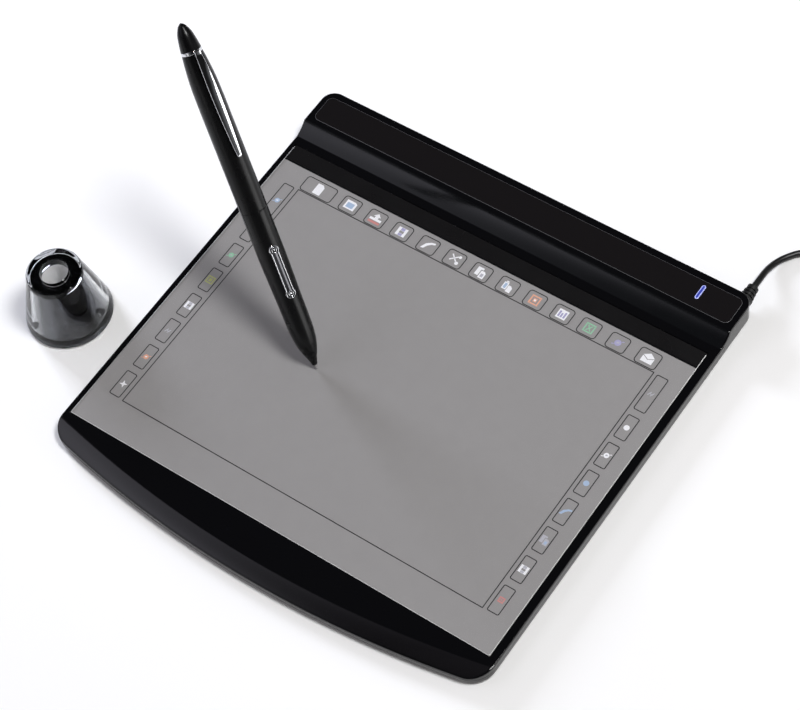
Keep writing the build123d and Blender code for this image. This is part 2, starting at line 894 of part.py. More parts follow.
def make_pen(place):
    """All pieces of the pen, made upright on its own axis and then put in place."""
    nib_bore = nib_radius + nib_hole_gap
    tip = Pos(0, 0, nib_round) * Sphere(nib_round)
    cone = turned([(0, nib_round), (nib_round, nib_round), (nib_radius, 1.6), (0, 1.6)])
    stem = post(0, 0, 1.6, nib_length, nib_radius)
    save("nib", place * (tip + cone + stem))
    holder = ring_tube(holder_start, holder_end, holder_radius, nib_radius)
    holder = holder + post(0, 0, nib_length, holder_end, nib_radius)
    save("nib_holder", place * holder)

    nose_line = [(nose_start, nose_tip_radius)] + nose_profile + [(nose_seam, nose_seam_radius)]
    nose = turned_curve(nose_line, [(3.0, nose_seam), (nib_bore, nose_seam - 4), (nib_bore, nose_start)])
    save("nose_cone", place * nose)

    front_line = [(nose_seam, nose_seam_radius)] + grip_profile + [(grip_end, grip_end_radius)]
    front = turned_curve(
        front_line,
        [
            (pen_radius, grip_end + 2),
            (pen_radius, barrel_seam),
            (spigot_radius, barrel_seam),
            (spigot_radius, barrel_seam + spigot_length),
            (spigot_bore, barrel_seam + spigot_length),
            (spigot_bore, barrel_seam),
            (barrel_bore, barrel_seam - 2),
            (barrel_bore, front_bore_end),
            (front_bore, front_bore_end),
            (front_bore, nose_seam),
        ],
    )
    front = front - dog_bone(0, 0, 2 * pen_radius)
    save("front_barrel", place * front)

    core = ring_tube(antenna_start, antenna_end, antenna_core_radius, nib_bore)
    save("antenna_core", place * core)
    winding = ring_tube(antenna_start + 1, antenna_end - 1, antenna_radius, antenna_core_radius)
    save("antenna_winding", place * winding)

    sensor_start = holder_end + sensor_air
    sensor = post(0, 0, sensor_start, sensor_start + sensor_length, sensor_radius)
    save("pressure_sensor", place * sensor)
    board = box(
        pen_board_height,
        pen_board_height + pen_board_skin,
        -pen_board_half_width,
        pen_board_half_width,
        sensor_start + sensor_length,
        pen_board_end,
    )
    save("pen_board", place * board)
    contact_radius = (spigot_bore + spigot_radius) / 2
    contact = post(0, 0, barrel_seam + spigot_length, cell_start - cell_nub, contact_radius)
    save("front_contact", place * contact)

    make_switch(place)
    make_rear(place)
    make_clip(place * Rot(0, 0, clip_turn))


def make_switch(place):
    """Rocker switch: chrome bezel, rocker on its cross pins, and the two small switches under its ends."""
    seat = (grip_profile[-2][1] + grip_end_radius) / 2
    bezel_top = seat + bezel_proud
    bezel = dog_bone(0, bezel_top - bezel_depth, bezel_top) - dog_bone(bezel_rim, 0, 2 * pen_radius)
    middle = (switch_start + switch_end) / 2
    pivot_x = bezel_top - bezel_depth / 2
    hole_radius = rocker_pin_radius + rocker_pin_gap
    reach = switch_waist - bezel_rim + rocker_pin_length
    hole = Pos(pivot_x, 0, middle) * Rot(90, 0, 0) * Cylinder(hole_radius, 2 * (reach + rocker_pin_gap))
    save("switch_bezel", place * (bezel - hole))

    rocker_top = seat + rocker_proud
    rocker_bottom = rocker_top - rocker_depth
    rocker = dog_bone(bezel_rim + rocker_gap, rocker_bottom, rocker_top)
    rocker = rocker + Pos(pivot_x, 0, middle) * Rot(90, 0, 0) * Cylinder(rocker_pin_radius, 2 * reach)
    for end in (switch_start + switch_end_radius, switch_end - switch_end_radius):
        dot = Pos(rocker_top, 0, end) * Rot(0, 90, 0) * Cylinder(rocker_dot_radius, 2 * rocker_dot_height)
        rocker = rocker + dot
    save("switch_rocker", place * rocker)

    board_face = pen_board_height + pen_board_skin
    tact_top = rocker_bottom - tact_air
    tacts = []
    for end in (switch_start + switch_end_radius, switch_end - switch_end_radius):
        half = tact_length / 2
        tacts.append(box(board_face, tact_top, -tact_width / 2, tact_width / 2, end - half, end + half))
    save("tact_switches", place * group(tacts))


def make_rear(place):
    """Rear barrel with the cell inside it, the ring and the end cap."""
    rear_line = [(shoulder_start, pen_radius)] + shoulder_profile + [(ring_start, shoulder_end_radius)]
    ring_end = ring_start + ring_length
    rear = turned_curve(
        rear_line,
        [
            (ring_seat_radius, ring_start),
            (ring_seat_radius, ring_end + cap_spigot),
            (0, ring_end + cap_spigot),
            (0, cell_bore_end),
            (cell_bore, cell_bore_end),
            (cell_bore, barrel_seam),
            (pen_radius, barrel_seam),
        ],
    )
    save("rear_barrel", place * rear)
    save("cap_ring", place * ring_tube(ring_start, ring_end, ring_radius, ring_seat_radius))
    cap_line = [(ring_end, cap_radius)] + cap_profile + [(pen_length, 0)]
    spigot_top = ring_end + cap_spigot
    cap_inside = [(0, spigot_top), (ring_seat_radius, spigot_top), (ring_seat_radius, ring_end)]
    cap = turned_curve(cap_line, cap_inside)
    save("end_cap", place * cap)

    cell_end = cell_start + cell_length
    cell = post(0, 0, cell_start, cell_end, cell_radius)
    cell = cell + post(0, 0, cell_start - cell_nub, cell_start, cell_nub_radius)
    save("battery_cell", place * cell)
    spring_height = cell_bore_end - cell_end - 2 * spring_wire
    helix = Helix(spring_height / spring_turns, spring_height, spring_radius)
    wire = sweep(Plane(origin=helix @ 0, z_dir=helix % 0) * Circle(spring_wire), path=helix, is_frenet=True)
    save("battery_spring", place * Pos(0, 0, cell_end + spring_wire) * wire)


def clip_side():
    """Side outline of the clip: its inner line, and its outer line one thickness further out."""
    inner = [(radius, 0, distance) for distance, radius in clip_line]
    tip = (clip_line[-1][1], 0, clip_tip)
    outer = [(radius + clip_skin, 0, distance) for distance, radius in clip_line]
    outer_tip = (clip_line[-1][1] + clip_skin, 0, clip_tip)
    return make_face(Polyline(*(inner + [tip, outer_tip] + outer[::-1]), close=True))


def make_clip(place):
    """Spring clip with a leaf-shaped face, a foot that rests on the barrel and a root at the ring."""
    left = [(0, width / 2, distance) for distance, width in clip_plan]
    right = [(0, -width / 2, distance) for distance, width in clip_plan]
    leaf = make_face(Polyline(*(left + right[::-1]), close=True))
    plan = extrude(leaf, 3 * pen_radius, dir=(1, 0, 0))
    blade = extrude(clip_side(), pen_radius, both=True) & plan
    foot_low = clip_tip + 0.5
    foot_block = box(
        pen_radius + clip_foot_air,
        clip_line[-1][1] + 0.1,
        -clip_foot_width / 2,
        clip_foot_width / 2,
        foot_low,
        foot_low + clip_foot_length,
    )
    blade = blade + foot_block
    root = box(
        ring_radius + clip_root_air,
        clip_line[0][1] + clip_skin,
        -clip_root_width / 2,
        clip_root_width / 2,
        clip_line[0][0] - 0.1,
        ring_start + ring_length,
    )
    save("clip", place * (blade + root))


# Pen stand

def cone(z0, z1, r0, r1):
    """An upright cone about the stand's axis."""
    return Pos(0, 0, (z0 + z1) / 2) * Cone(r0, r1, z1 - z0)


def make_stand():
    """Clear outer cone, dark core with the pen socket, pins, base, weight and rubber pad."""
    place = Pos(stand_x, stand_y, 0)
    base_top = stand_pad_skin + stand_base_skin
    plate_bottom = stand_height - stand_plate
    slope = (stand_base_radius - stand_top_radius) / (stand_height - stand_edge_height)
    shell = cone(stand_edge_height, stand_height, stand_base_radius, stand_top_radius)
    shell = fillet(shell.edges().sort_by(Axis.Z)[-1], stand_rim_round)
    room = cone(0, plate_bottom, core_base_radius + core_gap, core_top_radius + core_gap)
    seat = post(0, 0, 0, base_top, stand_base_radius - stand_pad_margin)
    shell = shell - room - seat - post(0, 0, 0, 2 * stand_height, stand_hole_radius)
    core = cone(base_top, plate_bottom, core_radius_at(base_top, plate_bottom), core_top_radius)
    core = core - post(0, 0, stand_height - stand_hole_depth, 2 * stand_height, stand_hole_radius)
    core = core - post(0, 0, 0, base_top + stand_weight_height, stand_weight_radius)
    pins = []
    pin_base = core_radius_at(stand_pin_height, plate_bottom) - stand_pin_depth
    shell_radius = stand_base_radius - slope * (stand_pin_height - stand_edge_height)
    for index in range(stand_pins):
        angle = stand_pin_turn + index * 360 / stand_pins
        pin = Pos(pin_base, 0, stand_pin_height) * Rot(0, 90, 0) * Cylinder(
            stand_pin_radius,
            shell_radius - stand_pin_reach - pin_base,
            align=(Align.CENTER, Align.CENTER, Align.MIN),
        )
        pins.append(Rot(0, 0, angle) * pin)
    for pin in pins:
        shell = shell - pin
        core = core - pin
    save("stand_shell", place * shell)
    save("stand_core", place * core)
    save("stand_pins", place * group(pins))
    base = post(0, 0, stand_pad_skin, base_top, stand_base_radius - stand_pad_margin)
    save("stand_base", place * base)
    save("stand_weight", place * post(0, 0, base_top, base_top + stand_weight_height, stand_weight_radius))
    save("stand_pad", place * post(0, 0, 0, stand_pad_skin, stand_base_radius - 2 * stand_pad_margin))


def core_radius_at(height, plate_bottom):
    """Radius of the core's cone at a height."""
    return core_base_radius + (core_top_radius - core_base_radius) * height / plate_bottom


os.makedirs("parts", exist_ok=True)
make_case()
make_surface()
make_boards()
make_fasteners()
make_relief()
start_point, start_heading, coil_length = make_coil()
lead_length = make_lead(start_point, start_heading)
make_pen(pen_place())
make_stand()
print("cord length", round((coil_length + lead_length) / 1000, 3), "m")
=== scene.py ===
"""Visual model of a graphics tablet with its battery pen, pen stand and USB cord.

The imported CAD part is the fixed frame. Every shape here is a surface worked out as whole numpy arrays
in millimetres of that frame, and is turned into metres when its mesh is made.
"""

from __future__ import annotations

import logging
import math
from dataclasses import dataclass, field
from enum import Enum
from functools import cache
from typing import Any, Sequence

import bmesh
import bpy
import numpy as np
from mathutils import Matrix, Vector
from mathutils.geometry import tessellate_polygon

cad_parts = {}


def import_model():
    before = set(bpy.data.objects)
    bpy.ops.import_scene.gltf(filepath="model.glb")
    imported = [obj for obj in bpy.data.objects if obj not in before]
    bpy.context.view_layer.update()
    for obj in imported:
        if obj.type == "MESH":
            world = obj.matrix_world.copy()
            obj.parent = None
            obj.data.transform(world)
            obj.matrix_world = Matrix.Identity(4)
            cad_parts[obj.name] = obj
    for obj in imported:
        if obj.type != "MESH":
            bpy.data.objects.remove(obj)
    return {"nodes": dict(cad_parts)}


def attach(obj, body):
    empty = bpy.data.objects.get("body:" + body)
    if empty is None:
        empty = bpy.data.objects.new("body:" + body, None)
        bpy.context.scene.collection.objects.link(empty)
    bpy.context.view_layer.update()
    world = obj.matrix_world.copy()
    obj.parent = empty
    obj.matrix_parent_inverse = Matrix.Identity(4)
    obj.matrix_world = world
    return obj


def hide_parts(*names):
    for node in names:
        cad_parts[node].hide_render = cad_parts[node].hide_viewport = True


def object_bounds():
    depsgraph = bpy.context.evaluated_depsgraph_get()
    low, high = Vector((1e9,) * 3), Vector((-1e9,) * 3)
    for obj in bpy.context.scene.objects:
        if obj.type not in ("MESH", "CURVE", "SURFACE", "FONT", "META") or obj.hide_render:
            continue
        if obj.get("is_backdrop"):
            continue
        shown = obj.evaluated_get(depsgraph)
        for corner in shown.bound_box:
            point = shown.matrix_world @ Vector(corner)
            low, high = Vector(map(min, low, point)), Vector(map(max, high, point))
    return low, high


LOG = logging.getLogger("tablet")
MM = 0.001
QUARTER = math.pi / 2
# Points closer than MERGE_MM become one, and comparisons of places allow for TINY_MM.
MERGE_MM = 1e-4
TINY_MM = 1e-6
# A profile that turns by more than this keeps its edge.
CREASE = math.radians(32)
PEN_SEGMENTS = 128
BOSS_SEGMENTS = 32
STAND_SEGMENTS = 144
# The gap that parts two areas of print.
HAIRLINE_MM = 0.1
# The pen's lean from upright, where it leans to, the film under its nib, and the nib's round end.
PEN_LEAN = math.radians(37.0)
PEN_HEADING = math.radians(148.76)
PEN_TOUCH = (-31.84, -14.45, 7.13)
NIB_ROUND = 0.55

Pair = tuple[float, float]
Triple = tuple[float, float, float]
Quad = tuple[float, float, float, float]
Array = np.ndarray
Level = float | np.ndarray
Node = bpy.types.Node
Socket = bpy.types.NodeSocket
Box = tuple[Sequence[float], Sequence[float]]
Sockets = dict[Any, Any] | None


class Body(Enum):
    """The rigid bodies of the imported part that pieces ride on."""

    TABLET = "tablet"
    FILM = "film"
    PEN_FRONT = "pen_front"
    NIB = "nib_unit"
    ROCKER = "rocker"
    PEN_REAR = "pen_rear"
    CLIP = "clip_body"
    STAND = "stand"


# Colours, nodes and finishes


def linear(colour: str) -> Quad:
    """Turn an sRGB hex colour, such as "8f8d8e", into linear red, green, blue and a full alpha.

    Args:
        colour: six hex digits.

    Returns:
        The values that shaders take.
    """
    parts = [int(colour[i : i + 2], 16) / 255 for i in (0, 2, 4)]
    curve = [p / 12.92 if p <= 0.04045 else ((p + 0.055) / 1.055) ** 2.4 for p in parts]
    return (curve[0], curve[1], curve[2], 1.0)


class Graph:
    """A node tree in the making, and the coordinates that its patterns read."""

    def __init__(self, owner: bpy.types.Material | bpy.types.World, coordinates: str = "Object") -> None:
        """Start an empty tree.

        Args:
            owner: the material or world that holds the tree.
            coordinates: which coordinates the patterns read.
        """
        owner.use_nodes = True
        self.tree = owner.node_tree
        self.tree.nodes.clear()
        self.place = self.add("TexCoord").outputs[coordinates]

    def add(self, kind: str, values: Sockets = None, links: Sockets = None, **settings: Any) -> Node:
        """Add one node with its settings, socket values and links.

        Args:
            kind: the node's type, less the part that all shader nodes share.
            values: socket name or number to value.
            links: socket name or number to the output that feeds it, or to a node for its first output.
            **settings: properties of the node itself.

        Returns:
            The new node.
        """
        node = self.tree.nodes.new("ShaderNode" + kind)
        for key, value in settings.items():
            setattr(node, key, value)
        for key, value in (values or {}).items():
            node.inputs[key].default_value = value
        for key, source in (links or {}).items():
            socket = source.outputs[0] if isinstance(source, Node) else source
            self.tree.links.new(socket, node.inputs[key])
        return node

    def grain(self, size_mm: float, detail: float = 2.0, place: Node | None = None) -> Node:
        """A noise, 0 to 1, whose blotches measure about so many millimetres."""
        values = {"Scale": 1 / (size_mm * MM), "Detail": detail, "Roughness": 0.55}
        return self.add("TexNoise", values, {"Vector": self.place if place is None else place})

    def spread(self, source: Node, low: float, high: float) -> Node:
        """Map a noise's usual range, 0.3 to 0.7, to low and high."""
        values = {"From Min": 0.3, "From Max": 0.7, "To Min": low, "To Max": high}
        return self.add("MapRange", values, {"Value": source})

    def fade(self, source: Socket, reach: Pair, levels: Pair) -> Node:
        """Run from one level to another by a smooth step over a reach of the source."""
        values = dict(zip(("From Min", "From Max", "To Min", "To Max"), (*reach, *levels)))
        return self.add("MapRange", values, {"Value": source}, interpolation_type="SMOOTHSTEP")

    def bump(self, source: Node, strength: float, deep_mm: float) -> Node:
        """Raise a relief by a noise."""
        return self.add("Bump", {"Strength": strength, "Distance": deep_mm * MM}, {"Height": source})

    def blend(self, source: Node, first: str, second: str) -> Socket:
        """Run from one colour to another by a noise.

        Args:
            source: the noise.
            first: colour at its low end.
            second: colour at its high end.

        Returns:
            The blended colour.
        """
        mix = self.add("Mix", links={"Factor": self.spread(source, 0.0, 1.0)}, data_type="RGBA")
        ends = [socket for socket in mix.inputs if socket.type == "RGBA"]
        ends[0].default_value, ends[1].default_value = linear(first), linear(second)
        return next(socket for socket in mix.outputs if socket.type == "RGBA")


@dataclass(frozen=True)
class Finish:
    """What a surface is made of: a name, a colour, and the shader that a subclass builds."""

    name: str
    colour: str

    def shader(self, graph: Graph) -> Node:
        """Build the nodes up to the last shader."""
        raise NotImplementedError(self.name)


@cache
def material_of(finish: Finish) -> bpy.types.Material:
    """The finish's material, built once.

    Args:
        finish: any finish.

    Returns:
        The material.
    """
    material = bpy.data.materials.new(finish.name)
    graph = Graph(material)
    graph.add("OutputMaterial", links={"Surface": finish.shader(graph)})
    return material


@dataclass(frozen=True)
class Moulded(Finish):
    """A moulded plastic or rubber: fine surface grain, and a gloss that varies in faint blotches."""

    roughness: float
    change: float = 0.02
    grain_mm: float = 0.5
    depth: float = 0.0
    ior: float = 1.5
    tint: str = ""

    def shader(self, graph: Graph) -> Node:
        """Blotches of 18 mm set the gloss, blotches of 7 mm the tint, and the grain the relief.

        Args:
            graph: the material's nodes.

        Returns:
            The shader.
        """
        low, high = max(self.roughness - self.change, 0.01), self.roughness + self.change
        links: dict[str, Any] = {"Roughness": graph.spread(graph.grain(18.0, 3.0), low, high)}
        if self.tint:
            links["Base Color"] = graph.blend(graph.grain(7.0), self.colour, self.tint)
        if self.depth:
            links["Normal"] = graph.bump(graph.grain(self.grain_mm), self.depth, 0.1)
        return graph.add("BsdfPrincipled", {"Base Color": linear(self.colour), "IOR": self.ior}, links)


@dataclass(frozen=True)
class Metal(Finish):
    """A metal surface: polished, or brushed in one direction with lines of a given spacing."""

    roughness: float
    line_mm: float = 0.3
    stretch: Triple = (1.0, 1.0, 1.0)
    depth: float = 0.0
    change: float = 0.03

    def shader(self, graph: Graph) -> Node:
        """A noise drawn out along the brushing sets the gloss and the relief.

        Args:
            graph: the material's nodes.

        Returns:
            The shader.
        """
        drawn = graph.add("Mapping", {"Scale": self.stretch}, {"Vector": graph.place})
        lines = graph.grain(self.line_mm, 3.0, drawn)
        low, high = max(self.roughness - self.change, 0.02), self.roughness + self.change
        links = {"Roughness": graph.spread(lines, low, high)}
        if self.depth:
            links["Normal"] = graph.bump(lines, self.depth, 0.05)
        return graph.add("BsdfPrincipled", {"Base Color": linear(self.colour), "Metallic": 1.0}, links)


@dataclass(frozen=True)
class Streaked(Finish):
    """A dark mirror lacquer with pale streaks, painted reflections in its colour, that run up a cone."""

    light: str
    roughness: float
    axis: Pair
    streaks: float

    def shader(self, graph: Graph) -> Node:
        """A one-dimensional noise, read at the arctangent of y over x about the axis, sets the colour, which
        runs from the dark lacquer to painted reflection streaks.

        Args:
            graph: the material's nodes.

        Returns:
            The shader.
        """
        centre = (self.axis[0] * MM, self.axis[1] * MM, 0.0)
        about = graph.add("VectorMath", {1: centre}, {0: graph.place}, operation="SUBTRACT")
        split = graph.add("SeparateXYZ", links={0: about}).outputs
        turn = graph.add("Math", links={0: split["Y"], 1: split["X"]}, operation="ARCTAN2")
        values = {"Scale": self.streaks, "Detail": 1.5, "Roughness": 0.5}
        noise = graph.add("TexNoise", values, {"W": turn}, noise_dimensions="1D")
        links = {"Base Color": graph.blend(noise, self.colour, self.light)}
        return graph.add("BsdfPrincipled", {"Roughness": self.roughness, "Metallic": 1.0}, links)


@dataclass(frozen=True)
class Clear(Finish):
    """A thick clear plastic that refracts, with a faint smear on its polish."""

    roughness: float
    ior: float

    def smear(self, graph: Graph) -> dict[str, Node]:
        """The gloss of a handled surface, in blotches of 25 mm."""
        low, high = max(self.roughness - 0.01, 0.0), self.roughness + 0.02
        return {"Roughness": graph.spread(graph.grain(25.0, 3.0), low, high)}

    def shader(self, graph: Graph) -> Node:
        """Let all light through."""
        values = {"Base Color": linear(self.colour), "IOR": self.ior, "Transmission Weight": 1.0}
        return graph.add("BsdfPrincipled", values, self.smear(graph))


@dataclass(frozen=True)
class ClearFilm(Clear):
    """A thin clear film that lets what is under it show straight through."""

    haze: float

    def shader(self, graph: Graph) -> Node:
        """Mix see-through, a trace of haze and a mirror.

        The mirrored share is the share head on, plus the rest times the fifth power of how far the
        surface stands edge on, the same from both sides.

        Args:
            graph: the material's nodes.

        Returns:
            The shader.
        """
        see = graph.add("BsdfTransparent", {"Color": linear(self.colour)})
        milky = graph.add("BsdfDiffuse", {"Color": linear("c8c8c8")})
        body = graph.add("MixShader", {0: self.haze}, {1: see, 2: milky})
        gloss = graph.add("BsdfGlossy", links=self.smear(graph))
        head_on = ((self.ior - 1) / (self.ior + 1)) ** 2
        edge_on = graph.add("LayerWeight", {"Blend": 0.5}).outputs["Facing"]
        power = graph.add("Math", {1: 5.0}, {0: edge_on}, operation="POWER")
        share = graph.add("Math", {1: 1 - head_on, 2: head_on}, {0: power}, operation="MULTIPLY_ADD")
        return graph.add("MixShader", links={0: share, 1: body, 2: gloss})


@dataclass(frozen=True)
class Lamp(Finish):
    """A lit lens: a diffusing plastic that glows evenly from inside."""

    glow: str
    strength: float

    def shader(self, graph: Graph) -> Node:
        """Fine blotches set the gloss over an even glow.

        Args:
            graph: the material's nodes.

        Returns:
            The shader.
        """
        values = {"Base Color": linear(self.colour), "Emission Color": linear(self.glow)}
        links = {"Roughness": graph.spread(graph.grain(2.0), 0.15, 0.3)}
        return graph.add("BsdfPrincipled", {**values, "Emission Strength": self.strength}, links)


@dataclass(frozen=True)
class Glow(Finish):
    """A lit stage panel, even or fading across its width."""

    level: float
    reach: Pair | None = None

    def shader(self, graph: Graph) -> Node:
        """The level falls to nothing as a smooth step of the place across.

        Args:
            graph: the material's nodes.

        Returns:
            The shader.
        """
        links = {}
        if self.reach:
            across = graph.add("SeparateXYZ", links={0: graph.place}).outputs["X"]
            links["Strength"] = graph.fade(across, self.reach, (self.level, 0.0))
        return graph.add("Emission", {"Color": linear(self.colour), "Strength": self.level}, links)


@dataclass(frozen=True)
class Paper(Finish):
    """The matt floor, which glows a trace where it is seen directly, off a gloss or through a clear piece."""

    lift: float

    def shader(self, graph: Graph) -> Node:
        """Add the glow for all but the rays that light other things.

        Args:
            graph: the material's nodes.

        Returns:
            The shader.
        """
        ray = graph.add("LightPath").outputs
        kinds = {0: ray["Is Camera Ray"], 1: ray["Is Glossy Ray"]}
        first = graph.add("Math", links=kinds, operation="MAXIMUM")
        seen = graph.add("Math", links={0: first, 1: ray["Is Transmission Ray"]}, operation="MAXIMUM")
        matt = graph.add("BsdfDiffuse", {"Color": linear(self.colour)})
        glow = graph.add("Emission", {"Color": linear("ffffff"), "Strength": self.lift})
        both = graph.add("AddShader", links={0: matt, 1: glow})
        return graph.add("MixShader", links={0: seen, 1: matt, 2: both})


# ABS, injection moulded against a polished steel mould: near-mirror black with faint handling haze.
CASE_BLACK = Moulded("black_abs_polished", "09090b", 0.055, 0.02, 0.6, 0.02, 1.52)
# The same plastic on the lip, a shade lighter than the case: painted sheen for the grey that the lip mirrors.
LIP_BLACK = Moulded("black_abs_lip_painted_sheen", "151416", 0.06, 0.02, 0.6, 0.02, 1.54)
# The same plastic in the hollow slope, which the polish reaches less; its colour, a shade lighter and bluer
# than the case's, is painted sheen.
SLOPE_BLACK = Moulded("black_abs_slope_painted_sheen", "0e0f11", 0.15, 0.03, 0.6, 0.02, 1.48)
# Printed black polycarbonate inlay: a shade lighter and softer than the case round it.
PANEL_BLACK = Moulded("black_polycarbonate_inlay", "161415", 0.11, 0.03, 0.4, 0.03, 1.55)
# The cut edge of the inlay, mid grey: a painted highlight for the thin line of light it catches.
PANEL_EDGE_HIGHLIGHT = Moulded("inlay_edge_painted_highlight", "5c5c5f", 0.3, 0.04)
# ABS of the bottom cover, finely spark-eroded: satin where the hand does not go.
BASE_BLACK = Moulded("black_abs_satin", "0c0c0e", 0.16, 0.03, 0.5, 0.05, 1.52)
# Polycarbonate film, clear with a slight haze.
FILM_CLEAR = ClearFilm("clear_polycarbonate_film", "fbfbfc", 0.09, 1.28, 0.004)
# The film's cut edge, pale grey: a painted highlight for the pale line that it shows.
FILM_EDGE_HIGHLIGHT = Moulded("film_edge_painted_highlight", "e6e6e6", 0.3, 0.05)
# Matt coated paper, printed solid grey in fine offset dots.
SHEET_GREY = Moulded("grey_printed_paper", "9f9d9a", 0.5, 0.03, 0.5, 0.06, 1.45, tint="a19f9c")
# Printing inks, matt and flat: a letter for the key table, and the colour that it lays on the sheet.
INKS: dict[str, Moulded] = {
    letter: Moulded(name + "_ink", colour, 0.45)
    for letter, name, colour in (
        ("k", "dark_line", "1f1c1e"), ("w", "white_icon", "ffffff"), ("p", "pale_icon", "c4c4ca"),
        ("o", "orange_icon", "efb395"), ("v", "violet_icon", "b3b0d2"), ("g", "green_icon", "9ad0ab"),
        ("b", "blue_icon", "b3c8e0"), ("r", "red_icon", "d8918b"), ("y", "yellow_icon", "bfc378"),
    )
}
# Clear tape over the black recess: it reads as a soft black band.
TAPE = Moulded("dark_backed_tape", "0b090a", 0.3, 0.04)
# Diffusing polycarbonate over a blue-white diode: a pale blue rim, a deeper core, and the diode itself.
LAMP_LENS = Lamp("diffusing_lamp_lens", "b4baf0", "98a4e6", 0.35)
LAMP_CORE = Lamp("blue_lamp_core", "2a3488", "3242a6", 0.4)
LAMP_CHIP = Lamp("blue_white_diode", "e8ecff", "aab4ff", 1.0)
# Soft TPE, PVC, nylon and rubber: matt black, from the jacket's low sheen to the dull grey of the feet.
RELIEF_TPE = Moulded("black_moulded_tpe", "161617", 0.42, 0.06, 0.3, 0.12)
JACKET_PVC = Moulded("black_pvc_jacket", "19191a", 0.36, 0.06, 0.4, 0.08)
TIE_NYLON = Moulded("black_nylon_strap", "1c1c1d", 0.5, 0.06, 0.25, 0.2)
FOOT_RUBBER = Moulded("dark_foot_rubber", "232324", 0.75, 0.08, 0.3, 0.35)
# The plug's insert: plain white with a low sheen.
PLUG_WHITE = Moulded("white_pbt_insert", "eeeeea", 0.35)
# Steels: the plug and the shield bright with faint lines of drawing, screws blackened, the spring bright.
PLUG_STEEL = Metal("nickel_plated_steel", "c9c9c6", 0.24, 0.4, (1.0, 0.15, 1.0), 0.08)
SCREW_STEEL = Metal("blackened_screw_steel", "4b4b4d", 0.34, 0.3, depth=0.1)
SPRING_STEEL = Metal("bright_spring_steel", "c4c4c2", 0.22)
SHIELD_STEEL = Metal("tinned_shield_steel", "b9bab8", 0.32, 0.8, (0.1, 1.0, 1.0), 0.08)
# Polished ABS of the pen, softer than the case where the fingers hold it.
PEN_BLACK = Moulded("black_abs_pen", "0a0a0b", 0.28, 0.04, 0.4, 0.05, 1.34)
# Acetal of the nib: mid grey with a waxy sheen.
NIB_POM = Moulded("grey_acetal_nib", "858384", 0.4, 0.05)
# Chrome plate of ring, bezel and clip: a bright mirror.
CHROME = Metal("bright_chrome_plate", "dcdde0", 0.05, 0.6, change=0.02)
# Silver-grey lacquer of the rocker, dull enough to part it from the bright rim.
ROCKER_PAINT = Metal("grey_painted_rocker", "6a6a6d", 0.34, 0.5, change=0.05)
# Inside: dull ferrite, drawn copper, green solder mask, matt epoxy, tin, nylon and the cell's wrapper.
FERRITE = Moulded("sintered_ferrite", "2b2b2e", 0.6, 0.06, 0.2, 0.3)
COPPER = Metal("enamelled_copper_wire", "b0693c", 0.3, 0.25, (1.0, 1.0, 0.1), 0.3)
BOARD_GREEN = Moulded("green_solder_mask", "0f5134", 0.3, 0.06, 0.8, 0.1, tint="136040")
CHIP_EPOXY = Moulded("black_chip_epoxy", "1a1a1b", 0.55, 0.05, 0.15, 0.2)
SOLDER = Metal("tinned_part_metal", "b4b4b0", 0.35)
CONNECTOR_NYLON = Moulded("ivory_nylon_connector", "e3dcc8", 0.5)
CELL_WRAP = Metal("grey_cell_wrapper", "8c8e92", 0.3, 1.0, (1.0, 1.0, 0.2), 0.05)
# Cast acrylic of the stand, polished: clear, with bright edges.
STAND_ACRYLIC = Clear("clear_cast_acrylic", "f7f9fa", 0.01, 1.32)
# Vacuum-metallised dark lacquer: a mirror, with pale upright streaks painted into its colour as painted
# reflections of the room.
CORE_MIRROR = Streaked("dark_metallised_core_painted_streaks", "030304", "5c5c60", 0.1, (-153.0, -46.0), 2.8)
# Pale colour on the wall of the core's hole, seen through the clear plate: a painted highlight.
CORE_HOLE_HIGHLIGHT = Moulded("core_hole_painted_highlight", "f2f2f2", 0.3, 0.05)
# The same black without the metal, on the ring round the hole and on its floor.
CORE_RING = Moulded("black_core_ring", "0b0b0d", 0.08, 0.02, 0.6, 0.0, 1.4)
# Turned steel of the stand: bright pins, and a darker base.
STAND_PIN = Metal("turned_pin_steel", "b7b8ba", 0.2)
BASE_STEEL = Metal("dark_turned_base_steel", "55565a", 0.22, 0.5)


# Shapes


def unit(vectors: Array) -> Array:
    """Scale vectors to length one, leaving zero vectors zero."""
    length = np.linalg.norm(vectors, axis=-1, keepdims=True)
    return np.divide(vectors, length, out=np.zeros_like(vectors), where=length > 1e-12)


def grid_normals(points: Array, wrap: bool) -> Array:
    """Normals of a grid: the cross product of the differences along its rows and along its columns.

    Args:
        points: rows, columns, 3.
        wrap: whether the last column joins the first.

    Returns:
        Unit normals of the same shape. A row that has shrunk to a pole takes the mean of the next row.
    """
    if wrap:
        across = np.roll(points, -1, axis=1) - np.roll(points, 1, axis=1)
    else:
        across = np.gradient(points, axis=1)
    raw = np.cross(across, np.gradient(points, axis=0))
    for row, near in ((0, 1), (-1, -2)):
        if np.linalg.norm(points[row] - points[row, :1], axis=-1).max() < MERGE_MM:
            raw[row] = unit(raw[near].mean(axis=0))
    return unit(raw)


def split_rows(points: Array) -> list[Array]:
    """Cut a grid into grids at the rows where its profile has a crease.

    Args:
        points: rows, columns, 3.

    Returns:
        The grids, each sharing its end rows with the next.
    """
    steps = unit(np.diff(points, axis=0))
    turn = np.arccos(np.clip((steps[:-1] * steps[1:]).sum(-1), -1, 1))
    still = np.linalg.norm(np.diff(points, axis=0), axis=-1) < 1e-9
    turn[still[:-1] | still[1:]] = 0
    cuts = [0, *(np.nonzero(np.median(turn, axis=1) > CREASE)[0] + 1), len(points) - 1]
    return [points[a : b + 1] for a, b in zip(cuts, cuts[1:])]


